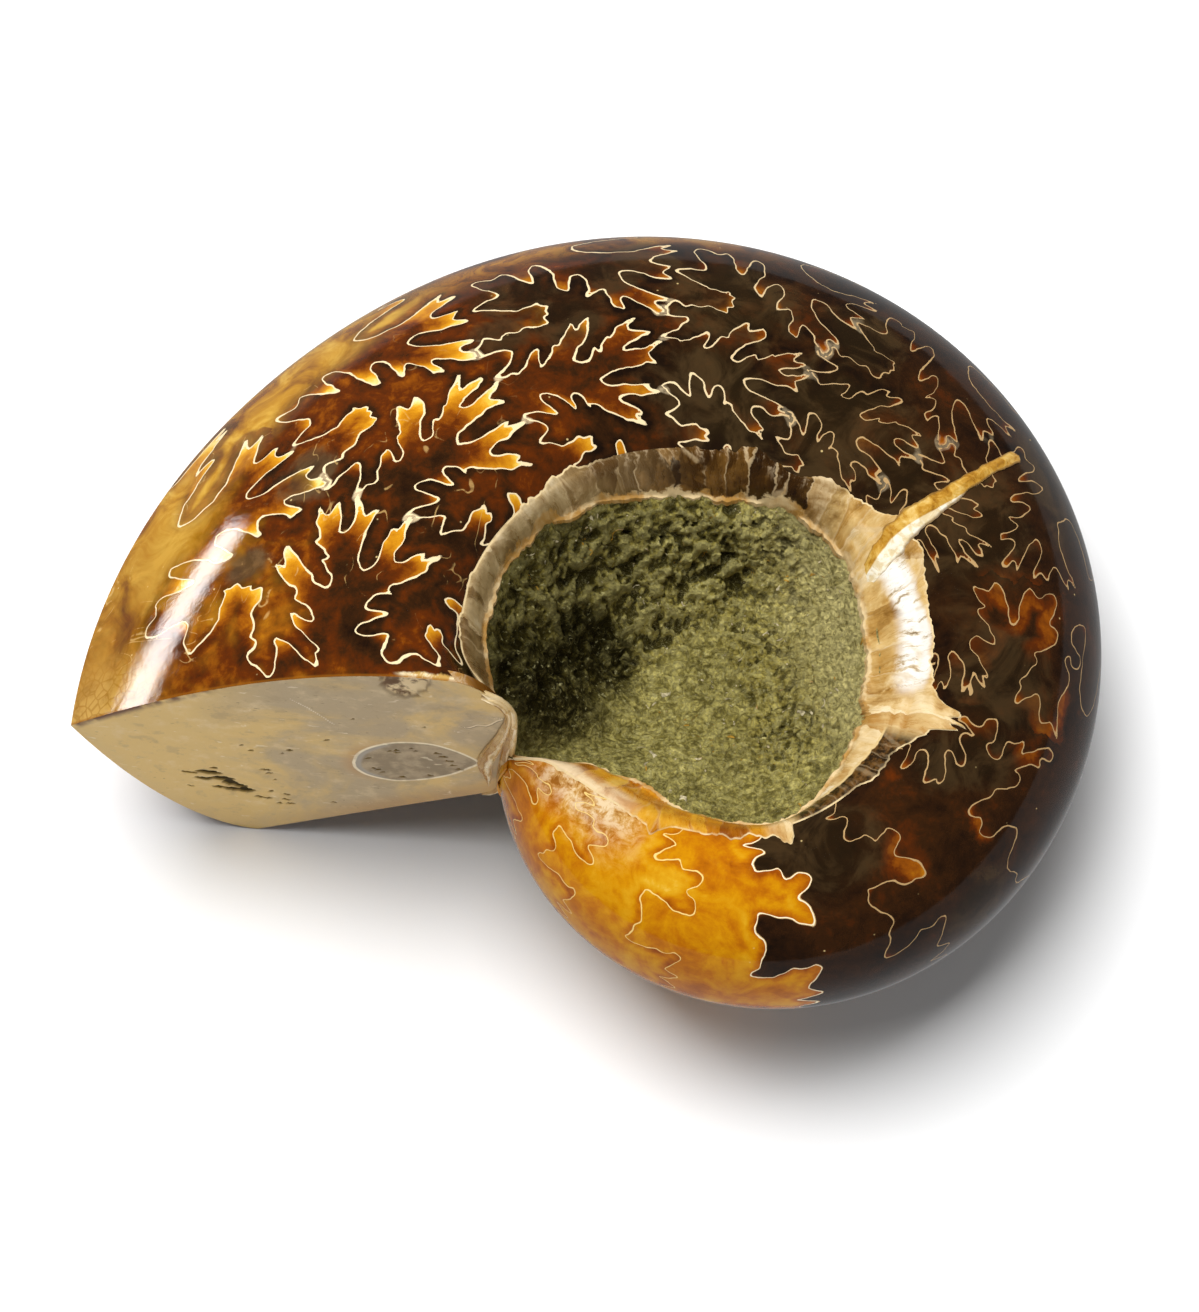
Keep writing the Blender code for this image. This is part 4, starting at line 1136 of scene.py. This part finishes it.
LOW_BAND_WIDTH = 0.0026
BAND_TUCK = 0.0004
RIM_MEAN_MM = 18


def band_height(radius, angle, edge, edge_height, rim):
    """The height of the shell from the rock's edge over the rim and on to the flank."""
    rim_height = upper_flank(rim, angle, rim)
    share = np.clip((radius - edge) / np.maximum(rim - edge, 1e-5), 0, 1)
    wall = edge_height + (rim_height - edge_height) * (1 - (1 - share) ** 1.7)
    return np.where(radius < rim, wall, upper_flank(np.maximum(radius, rim), angle, rim))


def wall_height(radius, angle, edge, edge_height, crest):
    """The height of the shell up the wall of the lower bowl."""
    share = np.clip((radius - edge) / np.maximum(crest - edge, 1e-5), 0, 1)
    return edge_height + (lower_flank(crest, angle) - edge_height) * share


def upper_rim_radius(angle):
    return along(RIM_RADIUS, angle)


def upper_band_edge(angle):
    return along(BAND_EDGE, angle)


def lower_band_edge(angle):
    """The lower band is even, and narrows away towards the saw cut at both ends."""
    width = LOW_BAND_WIDTH * ease(angle, 5, 40) * ease(-angle, -335, -300)
    return along(LOW_ROCK_RADIUS, angle) + width


def rim_band(name, edge_list, height_list, rim_at, outer_at, height_at, side):
    """A band of shell from the rock's edge to a ragged edge on the flank; side is 1 for upper."""
    turn = spaced_turns(BAND_COLUMNS)
    edge = ring_radius(edge_list, turn)
    rim = np.maximum(settle(turn, rim_at), edge + THINNEST_WALL)
    outer = settle(turn, outer_at)
    ring = upright(outer, bearing(outer, turn), 0 * turn)
    ragged = clouds(ring, 0.0040, 41, 4) * 0.00085 + clouds(ring, 0.0016, 42, 4) * 0.00040
    outer = outer + ragged
    if side > 0:
        outer = np.maximum(outer, rim + 0.0002)
    inner = edge - BAND_TUCK + clouds(ring, 0.0045, 43, 4) * 0.0006 + clouds(ring, 0.0012, 46, 3) * 0.00025
    share = np.linspace(0, 1, BAND_ROWS + 1)
    radius = inner[:, None] + (outer - inner)[:, None] * share
    angle = growth(radius, turn[:, None])
    edge_height = along(height_list, growth(edge, turn))[:, None] * side
    height = height_at(radius, angle, edge[:, None], edge_height, rim[:, None])
    out_mm = (radius - rim[:, None]) * 1000
    in_mm = (radius - inner[:, None]) * 1000
    edge_mm = (outer[:, None] - radius) * 1000
    along_mm = np.radians(angle) * RIM_MEAN_MM
    fibre = clouds(np.stack([along_mm, out_mm * 0.12, 0 * along_mm], -1) / 1000, 0.0009, 44, 4)
    even = upright(radius, bearing(radius, turn[:, None]), height)
    lift = BAND_LIFT * ease(edge_mm, 0.0, 0.35) + fibre * 0.00007 * ease(edge_mm, 0.1, 0.8)
    lift = lift + clouds(even, 0.003, 45) * 0.00014 * ease(edge_mm, 0.2, 2.0)
    lift = lift + 0.00025 * np.exp(-((in_mm - 0.7) / 0.5) ** 2)
    lift[:, 0] = -BAND_TUCK
    shape = even.copy()
    shape[..., 2] += (np.maximum(lift, -BAND_TUCK) + 0.00002) * side
    values = {"growth": angle, "out_mm": out_mm, "in_mm": in_mm, "edge_mm": edge_mm}
    return closed_strip(name, laid_down(shape), values, 0)


def horn_shell():
    s = Shader("horn_shell")
    turned, out = s.kept_value("growth"), s.kept_value("out_mm")
    broad = s.noise(0.0045, 4, 0.6, 0.6)
    fine = s.noise(0.0008, 4, 0.65)
    drift = (broad - 0.5) * 2.4
    drawn_out = s.flat_place(turned * 0.314 + drift, out * 0.22)
    fibres = s.noise(0.75, 5, 0.75, 0.0, drawn_out)
    plate = s.cells(2.3, "F1", drawn_out, "Color")
    joints = s.cells(2.3, "DISTANCE_TO_EDGE", drawn_out)
    grain = fibres * 0.22 + broad * 0.50
    grain = grain + plate * 0.28
    grey_tan = s.ramp(grain, [
        (0.36, (0.11, 0.056, 0.016)), (0.46, (0.24, 0.150, 0.058)), (0.55, (0.44, 0.32, 0.16)),
        (0.66, (0.74, 0.62, 0.41)),
    ])
    brown = s.ramp(grain, [
        (0.38, (0.014, 0.005, 0.001)), (0.48, (0.045, 0.018, 0.002)), (0.57, (0.15, 0.070, 0.012)),
        (0.68, (0.40, 0.24, 0.07)),
    ])
    orange = s.ramp(grain, [
        (0.37, (0.20, 0.09, 0.014)), (0.46, (0.42, 0.23, 0.055)), (0.54, (0.60, 0.40, 0.15)),
        (0.66, (0.82, 0.69, 0.46)),
    ])
    # A painted highlight: near white, crossed by the shell's dark striae.
    painted_highlight_stripes = s.ramp(fibres, [
        (0.33, (0.16, 0.10, 0.045)), (0.40, (0.52, 0.42, 0.28)), (0.46, (0.78, 0.74, 0.66)),
        (0.70, (0.86, 0.84, 0.80)),
    ])
    cream = s.ramp(grain, [
        (0.36, (0.40, 0.20, 0.045)), (0.46, (0.60, 0.41, 0.17)), (0.55, (0.76, 0.60, 0.35)),
        (0.68, (0.88, 0.80, 0.62)),
    ])
    honey = s.ramp(grain, [
        (0.36, (0.22, 0.055, 0.002)), (0.48, (0.44, 0.16, 0.004)), (0.58, (0.60, 0.30, 0.02)),
        (0.70, (0.72, 0.50, 0.14)),
    ])
    shifted = turned + (broad - 0.5) * 30
    s.colour = s.mix(s.spread(shifted, 44, 80), grey_tan, brown)
    s.lay(s.spread(shifted, 112, 134), orange)
    # Down the middle of the band on the right lies the painted highlight, where its shoulder would catch the
    # light.
    in_band = s.spread(out + drift, -2.5, -1.2) * s.spread(out + drift, 1.2, 0.4)
    painted_highlight_band = in_band * (s.spread(turned, 143, 151) * s.spread(turned, 197, 189))
    s.lay(painted_highlight_band, painted_highlight_stripes)
    s.lay(s.spread(shifted, 188, 198), cream)
    s.lay(s.spread(turned, 256, 266), honey)
    # Painted highlight on the oldest part of the rim: a whitish wash on the wall above the rock.
    painted_wall_highlight = s.spread(turned, 304, 316) * s.spread(broad, 0.36, 0.54, 0.4, 0.9)
    s.lay(painted_wall_highlight * s.spread(out, -2.2, -0.6), (0.70, 0.55, 0.34))

    # Outside the torn edge of the cream shell the whorl's own dark stone turns in towards the rock.
    torn = out + drift * 0.8
    turns_in = s.spread(turned, 205, 211) * s.spread(turned, 256, 250)
    dark_stone = s.mix(s.spread(fine, 0.40, 0.62), (0.020, 0.010, 0.003), (0.12, 0.055, 0.012))
    s.lay(turns_in * s.spread(torn, -1.35, -1.15), dark_stone)
    torn_line = s.spread(abs(torn + 1.30), 0.20, 0.10)
    s.lay(turns_in * torn_line, (0.66, 0.48, 0.22))

    # Fine joints cross it between one growth line and the next.
    joint = s.spread(joints, 0.045, 0.015) * s.spread(broad, 0.42, 0.56)
    s.lay(joint * s.spread(turned, 205, 190, 0.2, 0.5), (0.60, 0.45, 0.25))

    # Near the mouth and over the top its outer edge is frilled.
    frill = s.spread(fibres, 0.52, 0.60) * s.spread(s.kept_value("edge_mm"), 1.8, 0.3)
    frilled = s.spread(turned, 45, 62) * s.spread(turned, 122, 108)
    s.lay(frill * (frilled * 0.28 + 0.12), (0.58, 0.45, 0.28))

    # A cream thread runs along the ragged edge, and the lip over the rock is cream and amber.
    thread = s.spread(s.kept_value("edge_mm"), 0.24, 0.12)
    thread = thread * s.spread(s.noise(0.003, 2), 0.35, 0.55, 0.3, 1.0)
    s.lay(thread * (s.spread(turned, 64, 52) + s.spread(turned, 118, 132)), (0.70, 0.54, 0.29))
    lip = s.kept_value("in_mm") + (fine - 0.5) * 0.9
    lip_colour = s.mix(s.spread(broad, 0.40, 0.60), (0.42, 0.22, 0.05), (0.68, 0.52, 0.28))
    s.lay(s.spread(lip, 0.62, 0.45, 0, 0.9), lip_colour)
    s.bump(fibres * 0.6 + fine * 0.5, 0.00014, 0.8)
    return s.finish(s.spread(fibres, 0.3, 0.7, 0.22, 0.40), IOR=1.5)


horn = horn_shell()
upper_rim = rim_band("upper_rim", ROCK_RADIUS, ROCK_HEIGHT, upper_rim_radius, upper_band_edge, band_height, 1)
kept(upper_rim, horn)
lower_rim = rim_band(
    "lower_rim", LOW_ROCK_RADIUS, LOW_ROCK_HEIGHT, lower_crest, lower_band_edge, wall_height, -1
)
kept(lower_rim, horn)

# ---------------------------------------------------------------------------------------------
# The notch: two folds of the same shell, one in front of the other, that run down the inner edge
# of the sawn face. They grew on to it, and the saw left their ends standing.
# ---------------------------------------------------------------------------------------------
# The folds as (mm from the axis, mm up, half width in mm).
LIP_FOLD = [
    (24.4, 18.9, 0.25), (23.2, 18.2, 0.32), (22.0, 16.4, 0.36), (21.5, 13.7, 0.36), (21.9, 9.3, 0.55),
    (22.4, 5.9, 0.78), (22.9, 2.4, 0.76), (22.5, -0.7, 0.50), (22.1, -3.4, 0.25),
]
LIP_STRIP = [
    (24.6, 19.6, 0.5), (22.6, 17.4, 0.5), (21.3, 14.6, 0.5), (20.9, 10.0, 0.55), (20.9, 5.0, 0.7),
    (20.9, 0.0, 0.7), (21.0, -4.6, 0.5), (22.6, -6.6, 0.4),
]
FOLD_SIDES = 24


def notch_strand(name, points, proud):
    """One fold of the shell that runs down the inner edge of the sawn face into the notch."""
    line = rounded_line(points, 14)
    turned = np.linspace(0, 2 * math.pi, FOLD_SIDES + 1)[None, :]
    step = np.linspace(0, 1, len(line))[:, None]
    half = line[:, 2:] / 1000 * np.sqrt(np.clip(np.minimum(step, 1 - step) / 0.10, 0.02, 1))
    tangent = np.gradient(line[:, :2], axis=0)
    tangent /= np.linalg.norm(tangent, axis=1, keepdims=True)
    out = line[:, :1] / 1000 - tangent[:, 1:] * half * np.cos(turned)
    up = line[:, 1:2] / 1000 + tangent[:, :1] * half * np.cos(turned)
    pleats = 1 + 0.22 * np.cos(turned * 7 + 5 * step) + 0.10 * np.cos(turned * 11 - 9 * step)
    ahead = CUT_OFFSET + proud + (0.00016 + half * 0.42) * np.sin(turned) * pleats
    shape = ahead[..., None] * SQUARE_ON + out[..., None] * SIDEWAYS
    shape[..., 2] += up
    rough = clouds(shape, 0.0016, 61, 3) * 0.00014
    shape = shape + rough[..., None] * SQUARE_ON
    shape[:, -1] = shape[:, 0]
    # The values that horn_shell reads: they give it the cream of the rim, with no edge near.
    flat = 0 * out
    values = {
        "growth": 201 + 2.6 * np.cos(turned) + flat, "out_mm": flat - 1, "in_mm": flat + 3,
        "edge_mm": flat + 3,
    }
    mesh, _ = grid_of(laid_down(shape), values)
    bmesh.ops.remove_doubles(mesh, verts=mesh.verts, dist=1e-6)
    bmesh.ops.holes_fill(mesh, edges=open_edges(mesh), sides=0)
    return closed(name, mesh)


kept(notch_strand("notch_fold", LIP_FOLD, 0.0002), horn)
kept(notch_strand("notch_lip", LIP_STRIP, -0.0001), horn)

# ---------------------------------------------------------------------------------------------
# The healed crack: a long tapering seam of amber shell that runs out over the flank from the rim,
# where the animal closed a split in its shell. It is part of the same stone and stands a little proud.
# ---------------------------------------------------------------------------------------------
SEAM_BEARING = 144.0
SEAM_COLUMNS = 200
SEAM_ROWS = 20
SEAM_LIFT = 0.00012
SEAM_THICK = 0.0006
SEAM_RADIUS = (0.0146, 0.0362)
# The seam's half width by radius, from the rim to its tip.
SEAM_WIDTH = [
    (0.0146, 0.0005), (0.0165, 0.0013), (0.0190, 0.0016), (0.0225, 0.0013), (0.0275, 0.00080),
    (0.033, 0.00062), (0.0362, 0.00068),
]


def healed_crack():
    """The long tapering seam of shell that ran back from the rim where the shell had split."""
    length, across = np.meshgrid(
        np.linspace(0, 1, SEAM_COLUMNS + 1), np.linspace(-1, 1, SEAM_ROWS + 1), indexing="ij"
    )
    radius = SEAM_RADIUS[0] + (SEAM_RADIUS[1] - SEAM_RADIUS[0]) * length
    line = np.stack([radius, 0 * radius, across * 0.001], -1)
    half = along(SEAM_WIDTH, radius) * np.sqrt(np.clip((1 - length) / 0.02, 0, 1))
    half = half * (1 + 0.22 * clouds(line, 0.0016, 51, 3))
    bend = np.maximum(0.0215 - radius, 0) / 0.0069
    middle = SEAM_BEARING + 4.5 * bend**2 + 0.35 * clouds(line[:, :1], 0.005, 52, 2)
    angle = middle + np.degrees(half * across / radius)
    rim = along(RIM_RADIUS, angle)
    edge = along(ROCK_RADIUS, angle)
    height = band_height(radius, angle, edge, along(ROCK_HEIGHT, angle), rim)
    ridge = np.where(across < 0.0, 1 + across, 1 - 0.8 * across) * ease(1 - np.abs(across), 0, 0.2)
    height = height + SEAM_LIFT + ridge * (0.00055 - 0.00035 * length) * ease(length, 0, 0.12)
    height = height + clouds(line, 0.0012, 53) * 0.00005
    shape = upright(radius, TIP_BEARING - angle, height)
    values = {"across": across, "radius_mm": radius * 1000}
    mesh, _ = grid_of(laid_down(shape), values)
    close_behind(mesh, open_edges(mesh), LEAN @ Vector((0, 0, -SEAM_THICK)), 0.99)
    return closed("healed_crack", mesh)


def seam_shell():
    s = Shader("seam_shell")
    across, radius = s.kept_value("across"), s.kept_value("radius_mm")
    streaks = s.noise(0.0012, 4, 0.65, 0.5)
    broad = s.noise(0.004, 3)
    amber = s.ramp(streaks * 0.6 + broad * 0.4, [
        (0.36, (0.24, 0.095, 0.006)), (0.46, (0.44, 0.215, 0.022)), (0.56, (0.60, 0.36, 0.07)),
        (0.70, (0.78, 0.60, 0.26)),
    ])
    facet_from = s.spread(radius, 19, 28, -0.15, 0.85, smooth=False)
    facet = s.spread(across - facet_from, -0.06, 0.06) * s.spread(radius, 28.2, 27.2)
    s.colour = s.mix(facet, amber, s.mix(s.spread(streaks, 0.4, 0.6), (0.70, 0.56, 0.32), (0.88, 0.82, 0.66)))
    skirt = s.spread(abs(across), 0.72, 0.95, 0, 0.8)
    s.lay(skirt, (0.20, 0.105, 0.028))
    s.bump(streaks, 0.00015, 0.8)
    return s.finish(s.spread(streaks, 0.3, 0.7, 0.20, 0.36), IOR=1.5)


kept(healed_crack(), seam_shell())

# ---------------------------------------------------------------------------------------------
# The stage, which is not part of the fossil: a white floor, a wide soft light above, a soft box
# low on the left, two weak fills, a glowing card on the floor that only the polish sees, and a
# camera that looks down from the front.
# ---------------------------------------------------------------------------------------------
CAMERA_PLACE = (-0.001959, -0.202497, 0.586946)
CAMERA_RIGHT = (1.0, 0.0003, 0.0052)
CAMERA_UP = (-0.002, 0.9444, 0.3289)
LENS_MM = 168.0
CAMERA_NEAR = 0.05
FLOOR_HALF_WIDTH = 3
PAPER_WHITE = (0.93, 0.93, 0.93)
WORLD_STRENGTH = 0.08

floor_mesh = bmesh.new()
bmesh.ops.create_grid(floor_mesh, x_segments=1, y_segments=1, size=FLOOR_HALF_WIDTH)
floor = finished("floor", floor_mesh)
paper = Shader("white_paper")
paper.colour = PAPER_WHITE
floor.data.materials.append(paper.finish(0.9, Specular_IOR_Level=0.0))
floor.visible_glossy = False


def area_light(name, place, aim, size, power, glossy):
    data = bpy.data.lights.new(name, "AREA")
    data.shape = "RECTANGLE"
    data.size, data.size_y = size
    data.energy = power
    lamp = bpy.data.objects.new(name, data)
    lamp.location = place
    lamp.rotation_euler = (Vector(aim) - Vector(place)).to_track_quat("-Z", "Y").to_euler()
    lamp.visible_glossy = glossy
    bpy.context.scene.collection.objects.link(lamp)
    return lamp


area_light("top_light", (-0.235, 0.295, 1.11), (0, 0, 0), (0.84, 0.84), 22.0, False)
area_light("front_fill", (0.10, -1.10, 0.10), (0, 0, 0.02), (0.8, 0.15), 2.5, False)
area_light("right_fill", (0.95, -0.30, 0.45), (0, 0, 0), (0.6, 0.6), 2.0, False)
area_light("soft_box", (-0.84, 0.57, 0.048), (-0.04, 0, 0.02), (0.40, 0.085), 1.8, True)
floor_card = area_light("floor_card", (0.40, -0.50, 0.0005), (0.40, -0.50, 1.0), (1.5, 1.3), 1.5, True)
floor_card.visible_camera = False
floor_card.visible_diffuse = False

world = bpy.data.worlds.new("studio")
world.use_nodes = True
background = world.node_tree.nodes["Background"]
background.inputs["Color"].default_value = (1, 1, 1, 1)
background.inputs["Strength"].default_value = WORLD_STRENGTH
bpy.context.scene.world = world

right, up = Vector(CAMERA_RIGHT).normalized(), Vector(CAMERA_UP).normalized()
back = right.cross(up)
camera = bpy.data.objects.new("camera", bpy.data.cameras.new("camera"))
camera.data.lens = LENS_MM
camera.data.clip_start = CAMERA_NEAR
camera.matrix_world = Matrix((right, back.cross(right), back)).transposed().to_4x4()
camera.location = CAMERA_PLACE
bpy.context.scene.collection.objects.link(camera)
bpy.context.scene.camera = camera
bpy.context.scene.view_settings.view_transform = "Standard"
